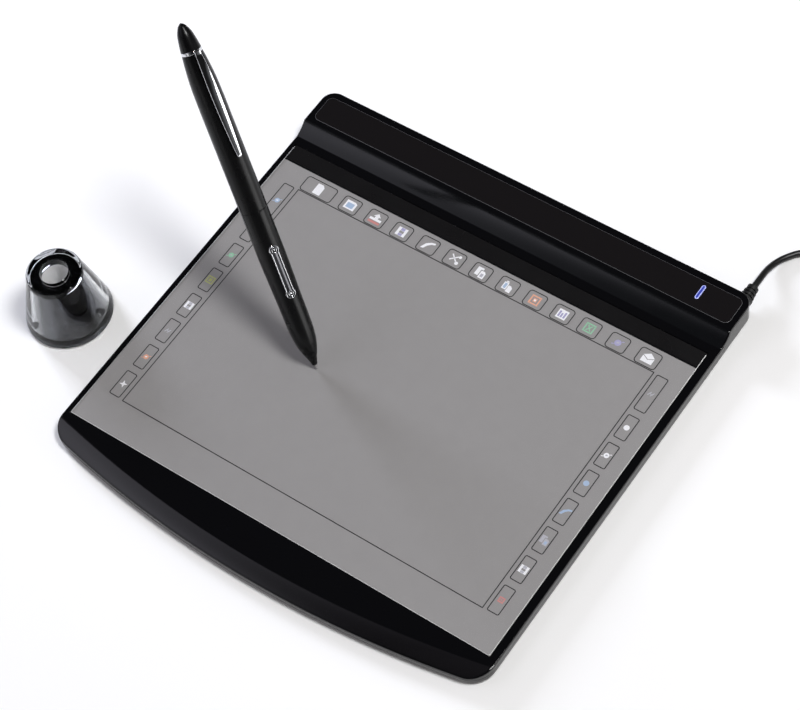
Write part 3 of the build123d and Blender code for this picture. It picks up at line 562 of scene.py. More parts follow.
def corner_normals(points: Array, joined: Array, order: Array, triangles: Array, normals: Array) -> Array:
    """Give each face corner the normal of its own patch, on the side that its face looks to.

    Blender may have turned a face round and begun it at another corner, so each corner is looked up in
    the triangle that it came from.

    Args:
        points: the mesh's points.
        joined: the triangles as they went into the mesh, numbers into its points.
        order: the triangles as they came back.
        triangles: the same triangles, numbers into the normals.
        normals: one for each point of the patches.

    Returns:
        A unit normal for each corner as they came back, m, 3, 3.
    """
    start = (joined == order[:, :1]).argmax(axis=1)
    turned = np.take_along_axis(joined, ((start + 1) % 3)[:, None], axis=1)[:, 0] != order[:, 1]
    step = np.where(turned, -1, 1)[:, None] * np.arange(3)[None, :]
    corners = normals[np.take_along_axis(triangles, (start[:, None] + step) % 3, axis=1)]
    place = points[order]
    face = unit(np.cross(place[:, 1] - place[:, 0], place[:, 2] - place[:, 0]))[:, None]
    corners = corners * np.where((corners * face).sum(-1, keepdims=True) < 0, -1.0, 1.0)
    return np.where(np.linalg.norm(corners, axis=-1, keepdims=True) < 0.5, face, corners)


@dataclass(frozen=True)
class Place:
    """A frame: its origin and its three directions in the part's frame."""

    origin: Array
    right: Array
    ahead: Array
    up: Array

    def directions(self, vectors: Array) -> Array:
        """Turn directions into the part's frame."""
        return vectors @ np.stack([self.right, self.ahead, self.up])

    def points(self, local: Array) -> Array:
        """Turn places into the part's frame."""
        return self.directions(local) + self.origin


class Shape:
    """Patches of surface gathered for one piece: points, normals, triangles and a finish number each."""

    def __init__(self) -> None:
        """Start with nothing."""
        self.patches: list[tuple[Array, Array, Array, Array]] = []
        self.count = 0

    def add(self, points: Array, normals: Array, triangles: Array, finish: int) -> None:
        """Add a patch.

        Args:
            points: places in millimetres, 3 in the last axis.
            normals: a unit normal at each.
            triangles: m, 3 numbers into the points.
            finish: which of the piece's finishes it wears.
        """
        numbers = np.full(len(triangles), finish)
        self.patches.append((points.reshape(-1, 3), normals.reshape(-1, 3), triangles + self.count, numbers))
        self.count += points.size // 3

    def grid(self, points: Array, wrap: bool = False, finish: int = 0, crease: bool = True) -> None:
        """Add a grid of points, two triangles to each cell.

        Args:
            points: rows, columns, 3.
            wrap: whether the last column joins the first.
            finish: which of the piece's finishes it wears.
            crease: whether rows with a sharp turn keep their edge.
        """
        for part in split_rows(points) if crease and len(points) > 2 else [points]:
            rows, columns = part.shape[:2]
            index = np.arange(rows * columns).reshape(rows, columns)
            if wrap:
                index = np.concatenate([index, index[:, :1]], axis=1)
            a, b, c, d = index[:-1, :-1], index[:-1, 1:], index[1:, 1:], index[1:, :-1]
            halves = [np.stack(corner, -1).reshape(-1, 3) for corner in ((a, b, c), (a, c, d))]
            self.add(part, grid_normals(part, wrap), np.concatenate(halves), finish)

    def wall(self, loop: Array, start: Level, end: Level) -> None:
        """Add a smooth wall along a flat closed loop, from one height to another."""
        self.grid(np.stack([at_height(loop, start), at_height(loop, end)]), wrap=True)

    def facets(self, loop: Array, start: float, end: float, finish: int = 0) -> None:
        """Add a wall along a flat closed loop as one flat face for each of its runs."""
        for a, b in zip(loop, np.roll(loop, -1, axis=0)):
            self.grid(np.array([[[*a, start], [*b, start]], [[*a, end], [*b, end]]]), finish=finish)

    def plate(self, loops: Sequence[Array], finish: int = 0) -> None:
        """Add a flat area inside the first loop and outside the others.

        Args:
            loops: closed loops of points, n, 3 each, all in one plane.
            finish: which of the piece's finishes it wears.
        """
        flat = np.concatenate(loops)
        found = tessellate_polygon([[Vector(p) for p in loop] for loop in loops])
        triangles = np.array(found, dtype=int).reshape(-1, 3)
        corners = flat[triangles]
        cross = np.cross(corners[:, 1] - corners[:, 0], corners[:, 2] - corners[:, 0])
        normal = unit(cross[np.argmax(np.linalg.norm(cross, axis=1))])
        self.add(flat, np.tile(normal, (len(flat), 1)), triangles, finish)

    def seat(self, loop: Array, mouth: float, floor: float) -> Array:
        """Add a smooth pocket.

        Args:
            loop: its outline, n, 2.
            mouth: height of its mouth.
            floor: height of its floor.

        Returns:
            The loop of its mouth, the other way round.
        """
        self.wall(loop, mouth, floor)
        self.plate([at_height(loop, floor)])
        return at_height(loop[::-1], mouth)

    def build(
        self,
        name: str,
        body: Body,
        slot: str,
        finishes: Sequence[Finish],
        node: str,
        place: Place | None = None,
    ) -> None:
        """Make the piece's object, closed and facing outwards.

        Equal points become one, and Blender turns the faces outwards. Each face corner keeps the normal
        of the surface it came from, so that gloss runs smoothly over any division into faces.

        Args:
            name: the piece's name.
            body: what it rides on.
            slot: not used.
            finishes: one finish for each number used in the patches.
            node: the CAD node that it stands for.
            place: the patches' own frame, where that isn't the part's.
        """
        if place:
            self.patches = [(place.points(p), place.directions(n), t, f) for p, n, t, f in self.patches]
        points, normals, triangles, numbers = (np.concatenate(column) for column in zip(*self.patches))
        key = np.round(points / MERGE_MM).astype(np.int64)
        _, first, same = np.unique(key, axis=0, return_index=True, return_inverse=True)
        joined = same.reshape(-1)[triangles]
        real = (joined != np.roll(joined, 1, axis=1)).all(axis=1)
        joined, triangles, numbers = joined[real], triangles[real], numbers[real]
        mesh = bpy.data.meshes.new(name)
        mesh.from_pydata((points[first] * MM).tolist(), [], joined.tolist())
        work = bmesh.new()
        work.from_mesh(mesh)
        bmesh.ops.recalc_face_normals(work, faces=work.faces)
        work.to_mesh(mesh)
        work.free()
        order = np.empty(len(mesh.loops), dtype=np.int32)
        mesh.loops.foreach_get("vertex_index", order)
        corners = corner_normals(points[first], joined, order.reshape(-1, 3), triangles, normals)
        mesh.polygons.foreach_set("use_smooth", np.ones(len(mesh.polygons), dtype=bool))
        mesh.polygons.foreach_set("material_index", numbers.astype(np.int32))
        mesh.normals_split_custom_set(corners.reshape(-1, 3).tolist())
        mesh.validate(clean_customdata=False)
        for finish in finishes:
            mesh.materials.append(material_of(finish))
        piece = bpy.data.objects.new(name, mesh)
        bpy.context.scene.collection.objects.link(piece)
        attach(piece, body.value)
        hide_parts(node)
        LOG.info("%s: %d triangles on %s", name, len(mesh.polygons), body.value)


def chain(*parts: Any) -> Array:
    """Join pairs and runs of pairs into one profile."""
    return np.concatenate([np.reshape(part, (-1, 2)) for part in parts])


def arc(x: float, y: float, wide: float, high: float, angle: Array) -> Array:
    """Points of an ellipse: x plus wide times cosine, y plus high times sine."""
    return np.stack([x + wide * np.cos(angle), y + high * np.sin(angle)], axis=-1)


def polar(radius: Level, angle: Array, level: Level) -> Array:
    """Points about the upright axis: radius times cosine, radius times sine, and the level."""
    return np.stack(np.broadcast_arrays(radius * np.cos(angle), radius * np.sin(angle), level), axis=-1)


def circle(segments: int) -> Array:
    """Even angles round a whole turn."""
    return np.linspace(0, 2 * math.pi, segments, endpoint=False)


def at_height(loop: Array, height: Level) -> Array:
    """Give a flat loop its height."""
    return np.column_stack([loop, np.broadcast_to(height, len(loop))])


def spans(stops: Sequence[float], counts: Sequence[int]) -> Array:
    """Places from stop to stop, so many in each span, with shared ends once."""
    runs = [np.linspace(a, b, count) for a, b, count in zip(stops, stops[1:], counts)]
    return np.unique(np.concatenate(runs))


def rounded(*corners: Triple) -> Array:
    """A profile through corners, each rounded by an arc of its own radius, in five pieces.

    The arc touches both runs at radius over the tangent of half the corner's angle, and its points are
    the arc's centre plus the radius at even angles between the two touching directions.

    Args:
        *corners: across, along and radius of each corner; radius 0 keeps it sharp.

    Returns:
        Points, n, 2.
    """
    places = [np.array(c[:2], dtype=float) for c in corners]
    out: list[Array] = [places[0]]
    share = np.linspace(0, 1, 6)[:, None]
    for before, here, after, (_, _, radius) in zip(places, places[1:], places[2:], corners[1:]):
        come, go = unit(before - here), unit(after - here)
        half = math.acos(float(np.clip(come @ go, -1, 1))) / 2
        if radius <= 0 or abs(half - QUARTER) < 1e-3:
            out.append(here)
            continue
        reach = radius / math.tan(half)
        centre = here + unit(come + go) * radius / math.sin(half)
        a, b = here + come * reach - centre, here + go * reach - centre
        sweep = math.pi - 2 * half
        out.append(centre + (np.sin((1 - share) * sweep) * a + np.sin(share * sweep) * b) / math.sin(sweep))
    return chain(*out, places[-1])


def curve_through(knots: Sequence[Pair], at: Array) -> Array:
    """A smooth value through knots: a cubic in each span with slopes from the neighbours' chords.

    Args:
        knots: place and value pairs, places rising.
        at: the places asked for.

    Returns:
        The values there.
    """
    x, y = np.array(knots, dtype=float).T
    chord = np.diff(y) / np.diff(x)
    slope = np.concatenate([chord[:1], (chord[:-1] + chord[1:]) / 2, chord[-1:]])
    k = np.clip(np.searchsorted(x, at) - 1, 0, len(x) - 2)
    width = x[k + 1] - x[k]
    t = np.clip((at - x[k]) / width, 0, 1)
    a, b = 2 * t**3 - 3 * t**2 + 1, t**3 - 2 * t**2 + t
    c, d = -2 * t**3 + 3 * t**2, t**3 - t**2
    return a * y[k] + b * width * slope[k] + c * y[k + 1] + d * width * slope[k + 1]


def knotted(knots: Sequence[Pair], at: Array) -> Array:
    """A profile of radius and place whose radius runs smoothly through knots."""
    return np.stack([curve_through(knots, at), at], axis=1)


def lathe(profile: Array, segments: int) -> Array:
    """Turn a profile of radius and height about the upright axis into a grid that closes on itself."""
    return polar(profile[:, :1], circle(segments), profile[:, 1:])


def turned(profile: Array, segments: int) -> Shape:
    """Make a body of revolution.

    Args:
        profile: radius and height, from the axis to the axis, or ending where it starts.
        segments: how many sides.

    Returns:
        The body.
    """
    shape = Shape()
    shape.grid(lathe(profile, segments), wrap=True)
    return shape


def rounded_box(box: Quad, grow: float, radius: float, steps: int) -> Array:
    """A rectangle with round corners, counter-clockwise, each a quarter turn about its own centre.

    Args:
        box: left, right, front and rear.
        grow: how far outside them it lies.
        radius: of the corners.
        steps: pieces in each corner.

    Returns:
        Points, n, 2.
    """
    x0, x1, y0, y1 = box
    a, b = (x1 - x0 + 2 * grow) / 2 - radius, (y1 - y0 + 2 * grow) / 2 - radius
    quarter = np.linspace(0, QUARTER, steps + 1)
    centres = enumerate(((a, b), (-a, b), (-a, -b), (a, -b)))
    loop = chain(*(arc(x, y, radius, radius, quarter + turn * math.pi / 2) for turn, (x, y) in centres))
    return loop + np.array([(x0 + x1) / 2, (y0 + y1) / 2])


# Tablet case


@dataclass
class Case:
    """The tablet's covers and the inlay panel with its lamp."""

    width: float = 235.0
    depth: float = 230.0
    bow: float = 555.0
    front_corner: float = 12.0
    rear_corner: float = 7.0
    base: float = 0.8
    deck: float = 7.0
    bar: float = 11.7
    slope: Pair = (86.5, 93.8)
    slope_dip: float = 0.5
    lip_run: float = 8.0
    lip_drop: float = 2.2
    seam: Pair = (3.9, 9.9)
    ceiling: Pair = (5.3, 9.3)
    floor: float = 2.4
    wall: float = 1.8
    edge_round: float = 0.8
    base_round: float = 1.0
    chamfer: float = 0.14
    recess: Quad = (-114.9, 113.4, -90.8, 82.1)
    recess_floor: float = 6.4
    panel: Quad = (-114.4, 114.4, 96.5, 111.3)
    panel_corner: float = 3.0
    panel_gap: float = 0.2
    panel_skin: float = 1.0
    panel_edge: float = 0.18
    lamp: Quad = (94.1, 96.1, 101.2, 109.3)
    lamp_gap: float = 0.1
    lamp_base: float = 8.1
    lamp_crown: Pair = (0.6, 0.25)
    screws: tuple[Pair, ...] = (
        (-109, -60), (-109, 35), (109, -60), (109, 35), (-60, -98), (60, -98), (-66, 103), (8, 103),
    )
    screw_seat: Pair = (2.4, 2.0)
    feet: tuple[Pair, ...] = ((-94, -86), (-94, 98), (94, -86), (94, 98), (0, 0))
    foot_seat: Pair = (6.0, 1.5)
    seat_segments: int = 32
    bow_y: float = field(init=False)
    plan: Array = field(init=False)
    outward: Array = field(init=False)

    def __post_init__(self) -> None:
        """Lay out the plan once: straight sides and rear, round corners and the bowed front.

        The front corner's centre is bow minus corner radius away from the bow's centre. Every point
        keeps its outward normal, so a line further in is the point minus its normal times the inset.
        On the front corner a row of points also marks where the edge meets the lip's first line. That
        turn is found by the law of cosines in the triangle of corner, edge and bow centre.
        """
        half, rear = self.width / 2, self.depth / 2
        self.bow_y = self.bow - rear
        reach, inner = self.bow - self.front_corner, self.front_corner - self.edge_round
        cx = half - self.front_corner
        cy = self.bow_y - math.sqrt(reach**2 - cx**2)
        rx, ry = half - self.rear_corner, rear - self.rear_corner
        tip = math.atan2(self.bow_y - cy, cx)
        lip = tip - math.acos(((self.bow - self.lip_run) ** 2 - inner**2 - reach**2) / (2 * inner * reach))
        arcs = [
            (rx, ry, self.rear_corner, np.linspace(0, QUARTER, 15)),
            (-rx, ry, self.rear_corner, np.linspace(QUARTER, math.pi, 15)),
            (-cx, cy, self.front_corner, spans((math.pi, math.pi + lip, math.pi + tip), (6, 16))),
            (0, self.bow_y, self.bow, np.linspace(math.pi + tip, 2 * math.pi - tip, 91)),
            (cx, cy, self.front_corner, spans((-tip, -lip, 0), (16, 6))),
        ]
        runs = [np.hstack([arc(x, y, r, r, angle), arc(0, 0, 1, 1, angle)]) for x, y, r, angle in arcs]
        side = spans((cy, *self.slope, ry), (24, 15, 6))[:, None] * [0, 1, 0, 0]
        across = np.linspace(rx, -rx, 41)[:, None] * [1, 0, 0, 0]
        right, left, back = side + [half, 0, 1, 0], side[::-1] + [-half, 0, -1, 0], across + [0, rear, 0, 1]
        order = [right, runs[0], back, runs[1], left, *runs[2:]]
        table = np.concatenate([part[:-1] for part in order])
        self.plan, self.outward = table[:, :2], table[:, 2:]

    def make(self) -> None:
        """Build the covers, the inlay panel and the lamp's lens."""
        self.make_top()
        self.make_bottom()
        self.make_panel()

    def loop(self, inset: float) -> Array:
        """The plan's outline so far in from the case's side, n, 2."""
        return self.plan - inset * self.outward

    def rise(self, y: Array, low: float, high: float) -> Array:
        """A height that runs level, up the hollow slope and level again.

        The slope is the circle through its two ends and a point a little under and behind their middle.

        Args:
            y: places along the case.
            low: height before the slope.
            high: height after it.

        Returns:
            The heights.
        """
        start, end = self.slope
        middle = ((start + end) / 2 + self.slope_dip / 2, (low + high) / 2 - self.slope_dip)
        through = ((start, low), middle, (end, high))
        rows = np.array([[2 * py, 2 * pz, 1] for py, pz in through])
        cy, cz, rest = np.linalg.solve(rows, np.array([py**2 + pz**2 for py, pz in through]))
        radius = math.sqrt(rest + cy**2 + cz**2)
        curve = cz - np.sqrt(np.maximum(radius**2 - (np.clip(y, start, end) - cy) ** 2, 0))
        return np.where(y <= start, low, np.where(y >= end, high, curve))

    def top(self, plan: Array) -> Array:
        """Height of the upper face: the side line, less the lip.

        The lip is an arc that starts level and drops by lip_drop over lip_run, by distance from the
        centre of the front's arc.

        Args:
            plan: places, n, 2.

        Returns:
            Their heights.
        """
        radius = (self.lip_run**2 + self.lip_drop**2) / (2 * self.lip_drop)
        out = np.hypot(plan[..., 0], plan[..., 1] - self.bow_y) - (self.bow - self.lip_run)
        out = np.where(plan[..., 1] < 0, np.clip(out, 0, self.lip_run), 0)
        return self.rise(plan[..., 1], self.deck, self.bar) - (radius - np.sqrt(radius**2 - out**2))

    def lid(self, shape: Shape, loop: Array, levels: Pair, outside: bool) -> None:
        """Close a case outline with level faces before and behind the slope, and the slope between.

        Args:
            shape: what the faces go to.
            loop: outline, n, 2.
            levels: heights of the front and the rear face.
            outside: whether it has the film's recess, the panel's seat and the lip.
        """
        x, y = loop.T
        start, end = self.slope
        between = (y > start - TINY_MM) & (y < end + TINY_MM)
        right, left = loop[between & (x > 0)], loop[between & (x < 0)][::-1]
        across = np.linspace(0, 1, 13)[None, :, None]
        strip = left[:, None] * (1 - across) + right[:, None] * across
        level = np.broadcast_to(self.rise(right[:, 1], *levels)[:, None, None], strip.shape[:2] + (1,))
        # Outside, the slope wears its lighter copy of the case's black: painted sheen.
        shape.grid(np.concatenate([strip, level], axis=2), finish=2 if outside else 0, crease=False)
        faces = []
        for mine, height in zip((y < start + TINY_MM, y > end - TINY_MM), levels):
            first = int(np.nonzero(mine & ~np.roll(mine, 1))[0][0])
            faces.append([at_height(np.roll(loop, -first, axis=0)[: int(mine.sum())], height)])
        if outside:
            self.lip(shape, faces[0][0])
            corners = self.recess_corners()[[0, 3, 2, 1]]
            faces[0].append(at_height(corners, levels[0]))
            faces[1].append(at_height(self.panel_loop(self.panel_gap)[::-1], levels[1]))
        for loops in faces:
            shape.plate(loops)

    def lip(self, shape: Shape, front: Array) -> None:
        """Lay the lip from its first line to the edge along rays from the front's centre.

        Args:
            shape: what it goes to.
            front: the front face's outline, whose points on the lip move back to its first line.
        """
        out = np.hypot(front[:, 0], front[:, 1] - self.bow_y)
        begin = self.bow - self.lip_run
        on_lip = (out >= begin - 1e-3) & (front[:, 1] < 0)
        centre = np.array([0, self.bow_y])
        reach = out[on_lip][:, None]
        ray = (front[on_lip, :2] - centre) / reach
        steps = np.sin(np.linspace(0, QUARTER, 15))[:, None, None]
        rows = centre + ray[None] * (begin + steps * np.maximum(reach - begin, 0)[None])
        # The lip wears its lighter copy of the case's black: painted sheen.
        shape.grid(np.concatenate([rows, self.top(rows)[..., None]], axis=2), finish=1, crease=False)
        front[on_lip, :2] = rows[0]

    def recess_corners(self) -> Array:
        """The film recess's corners, counter-clockwise."""
        x0, x1, y0, y1 = self.recess
        return np.array([[x0, y0], [x1, y0], [x1, y1], [x0, y1]])

    def panel_loop(self, grow: float) -> Array:
        """The inlay panel's outline, grown by a gap."""
        return rounded_box(self.panel, grow, self.panel_corner + grow, 8)

    def lamp_loop(self, grow: float) -> Array:
        """The lamp window's outline, with round ends, grown by a gap."""
        return rounded_box(self.lamp, grow, (self.lamp[1] - self.lamp[0]) / 2 + grow - 1e-3, 8)

    def make_top(self) -> None:
        """Build the top cover: faces, rounded edge, side, seam and the room inside.

        The edge is a quarter circle: at angle a it lies r times one minus sine a inside the side and
        r times one minus cosine a under the upper face.
        """
        shape, outer, inner, r = Shape(), self.loop(0), self.loop(self.wall), self.edge_round
        self.lid(shape, self.loop(r), (self.deck, self.bar), True)
        height = self.top(self.loop(r))
        turns = np.linspace(0, QUARTER, 9)
        rows = [at_height(self.loop(r * (1 - math.sin(a))), height - r * (1 - math.cos(a))) for a in turns]
        seam = self.rise(outer[:, 1], *self.seam)
        drop = seam + self.chamfer - (height - r)
        rows += [at_height(outer, height - r + share * drop) for share in (0.33, 0.66, 1.0)]
        shape.grid(np.stack(rows), wrap=True)
        under = [at_height(outer, seam + self.chamfer), at_height(self.loop(self.chamfer), seam)]
        shape.grid(np.stack([*under, at_height(inner, seam)]), wrap=True)
        shape.wall(inner, seam, self.rise(inner[:, 1], *self.ceiling))
        self.lid(shape, inner, self.ceiling, False)
        corners = self.recess_corners()
        shape.facets(corners, self.deck, self.recess_floor)
        shape.plate([at_height(corners, self.recess_floor)])
        shape.seat(self.panel_loop(self.panel_gap), self.bar, self.bar - self.panel_skin)
        # The lip's and the slope's finishes are lighter copies of the case's black: painted sheen.
        finishes = [CASE_BLACK, LIP_BLACK, SLOPE_BLACK]
        shape.build("case_top_cover", Body.TABLET, "case_gloss", finishes, "top_cover")

    def make_bottom(self) -> None:
        """Build the bottom cover: side under the seam, rounded base, foot seats and screw holes."""
        shape, outer, inner, r = Shape(), self.loop(0), self.loop(self.wall), self.base_round
        seam = self.rise(outer[:, 1], *self.seam)
        rows = [at_height(inner, seam), at_height(self.loop(self.chamfer), seam)]
        shape.grid(np.stack([*rows, at_height(outer, seam - self.chamfer)]), wrap=True)
        base = self.base + r
        side = [at_height(outer, s * base + (1 - s) * (seam - self.chamfer)) for s in (0, 0.33, 0.66)]
        turns = np.linspace(0, QUARTER, 9)
        side += [at_height(self.loop(r * (1 - math.cos(a))), base - r * math.sin(a)) for a in turns]
        shape.grid(np.stack(side), wrap=True, crease=False)
        holes, around = [at_height(self.loop(r), self.base)], circle(self.seat_segments)
        for places, (radius, roof) in ((self.screws, self.screw_seat), (self.feet, self.foot_seat)):
            holes += [shape.seat(arc(x, y, radius, radius, around), self.base, roof) for x, y in places]
        shape.plate(holes)
        shape.seat(inner, seam, self.floor)
        shape.build("case_bottom_cover", Body.TABLET, "case_gloss", [BASE_BLACK], "bottom_cover")

    def make_panel(self) -> None:
        """Build the inlay panel with its lamp window, and the light pipe in it, each with a rounded rim."""
        shape, low, high, edge = Shape(), self.bar - self.panel_skin, self.bar, self.panel_edge
        outline = self.panel_loop(0)
        shape.wall(outline, low, high - edge)
        rim = [at_height(outline, high - edge)]
        for a in np.linspace(0.3, QUARTER, 5):
            rim.append(at_height(self.panel_loop(edge * (math.cos(a) - 1)), high - edge * (1 - math.sin(a))))
        # The rounded rim wears the painted highlight.
        shape.grid(np.stack(rim), wrap=True, finish=1, crease=False)
        window = self.lamp_loop(self.lamp_gap)
        shape.plate([at_height(self.panel_loop(-edge), high), at_height(window[::-1], high)])
        shape.plate([at_height(outline, low), at_height(window[::-1], low)])
        shape.wall(window, high, low)
        shape.build("bar_inlay_panel", Body.TABLET, "panel_gloss", [PANEL_BLACK, PANEL_EDGE_HIGHLIGHT], "bar_panel")
        lens, (inset, crown) = Shape(), self.lamp_crown
        rows = [at_height(self.lamp_loop(0), self.lamp_base)]
        for a in np.linspace(0, QUARTER, 7)[:-1]:
            level = high - crown + crown * math.sin(a)
            rows.append(at_height(self.lamp_loop(inset * (math.cos(a) - 1)), level))
        lens.grid(np.stack(rows), wrap=True)
        lens.plate([rows[-1]], 1)
        lens.plate([rows[0]])
        lens.build("lamp_lens", Body.TABLET, "lamp_lens", [LAMP_LENS, LAMP_CORE], "light_pipe")


# Film and printed sheet


def block(x0: float, x1: float, y0: float, y1: float) -> list[Pair]:
    """A rectangular area's corners."""
    return [(x0, y0), (x1, y0), (x1, y1), (x0, y1)]


def bar(x0: float, y0: float, x1: float, y1: float, width: float) -> list[Pair]:
    """A straight stroke.

    Args:
        x0: its start, across.
        y0: its start, along.
        x1: its end, across.
        y1: its end, along.
        width: of the stroke.

    Returns:
        Its corners.
    """
    length = math.hypot(x1 - x0, y1 - y0)
    dx, dy = (y0 - y1) / length * width / 2, (x1 - x0) / length * width / 2
    return [(x0 + dx, y0 + dy), (x0 - dx, y0 - dy), (x1 - dx, y1 - dy), (x1 + dx, y1 + dy)]


def disc(x: float, y: float, radius: float, count: int = 14) -> list[list[float]]:
    """A round area's corners."""
    return arc(x, y, radius, radius, circle(count)).tolist()


def open_box(side: float, inner: float) -> list[list[Pair]]:
    """Four bars round a square opening, in the order rear, left, right, front.

    Args:
        side: half the outer width.
        inner: half the opening's width, less the hairline that parts the bars.

    Returns:
        The bars' corners.
    """
    near = inner + HAIRLINE_MM
    across, low = (-side, side), (-side, -near)
    return [
        block(*across, near, side), block(*low, -side, inner), block(near, side, -side, inner),
        block(-inner, inner, *low),
    ]


class Mark(Enum):
    """Plain pictograms: areas in millimetres about the key's centre, and areas of a second ink over them."""

    PAGE = ([[(-1.6, -2.3), (1.6, -2.3), (1.6, 1.3), (0.6, 2.3), (-1.6, 2.3)]],)
    FOLDER = (
        [[(-2.2, -1.7), (2.2, -1.7), (2.2, 1.4), (1.2, 2.0), (-2.2, 2.0)]],
        [block(-1.5, 1.4, -1.1, 1.1)],
    )
    DISK = (
        [block(-1.9, -0.9, -1.8, 1.8), block(0.9, 1.9, -1.8, 1.8), block(-0.9, 0.9, 0.4, 1.8),
         block(-0.9, 0.9, -1.8, -0.6)],
        [block(-0.8, 0.8, -1.7, -0.7), block(-0.8, 0.8, 0.5, 1.7)],
    )
    TRAY = (
        [block(-2.4, 2.4, -0.9, 0.1), block(-0.7, 0.7, 0.1, 1.0), [(-1.5, 0.9), (1.5, 0.9), (0.0, 2.3)]],
        [block(-2.4, 2.4, -2.1, -1.2)],
    )
    BRUSH = (
        [[(-2.2, -1.9), (-1.0, -1.7), (-0.2, -0.2), (1.0, 0.9), (2.3, 1.3), (2.1, 2.0), (0.6, 1.7),
          (-1.2, 0.4)]],
    )
    CUT = (
        [bar(-1.7, 1.7, 0.9, -0.7, 0.5), bar(-1.7, -0.9, 0.9, 1.5, 0.5), disc(1.5, -1.2, 0.7),
         disc(1.5, 1.6, 0.6)],
    )
    COPY = (
        [[(-2.0, -1.5), (-0.5, -1.5), (-0.5, 1.2), (0.4, 1.2), (0.4, 2.0), (-2.0, 2.0)],
         [(-0.2, -2.2), (1.9, -2.2), (1.9, 0.2), (1.2, 0.9), (-0.2, 0.9)]],
        [block(0.3, 1.4, -1.6, -0.2)],
    )
    PASTE = (
        [block(-1.9, -0.1, -1.6, 1.4), block(-1.4, -0.4, 1.5, 2.0),
         [(0.1, -2.2), (1.9, -2.2), (1.9, -0.2), (1.1, 0.6), (0.1, 0.6)]],
        [block(-1.5, -0.5, -1.2, 1.0)],
    )
    CHART = ([*open_box(1.9, 1.2), block(-0.7, 0.7, -0.8, 0.8)], [block(-0.35, 0.35, -0.4, 0.4)])
    TEXT = (
        [block(-1.9, 1.9, -1.9, 1.9)],
        [block(-1.4, -0.7, -1.3, 1.2), block(-0.4, 0.3, -1.3, 0.5), block(0.7, 1.4, -1.3, 1.2)],
    )
    TABLE = (
        [*open_box(1.9, 1.3),
         [(-1.1, -1.2), (-0.6, -1.2), (0.0, -0.35), (0.6, -1.2), (1.1, -1.2), (0.3, 0.0), (1.1, 1.2),
          (0.6, 1.2), (0.0, 0.35), (-0.6, 1.2), (-1.1, 1.2), (-0.3, 0.0)]],
    )
    GLOBE = (
        [disc(0, 0, 1.25, 18), bar(-1.9, -1.2, -1.1, -0.9, 0.35), bar(1.1, 0.9, 1.9, 1.3, 0.35)],
        [[(-0.5, -0.4), (0.5, -0.1), (0.5, 0.4), (-0.4, 0.3)]],
    )
    MAIL = (
        [[(-2.2, -1.9), (2.2, -1.9), (2.2, 0.5), (0.0, -0.6), (-2.2, 0.5)],
         [(-2.2, 0.8), (0.0, -0.3), (2.2, 0.8), (0.0, 2.2)]],
    )
    DOT = ([disc(0, 0, 1.3, 18)],)
    STAR = ([polar(np.tile((1.9, 0.7), 4), circle(8) + 0.3, 0)[:, :2].tolist()],)
    DASH = ([bar(-1.2, -0.9, -0.2, 1.0, 0.4), bar(0.1, -1.0, 1.1, 0.9, 0.4), bar(-0.9, 0.2, 0.9, -0.3, 0.3)],)
    RING = (
        [block(-1.3, 1.3, -1.3, -0.7), block(-1.3, -0.7, -0.6, 1.3), block(0.7, 1.3, -0.6, 1.3),
         block(-0.6, 0.6, 0.7, 1.3), disc(0, 0, 0.35, 10)],
    )


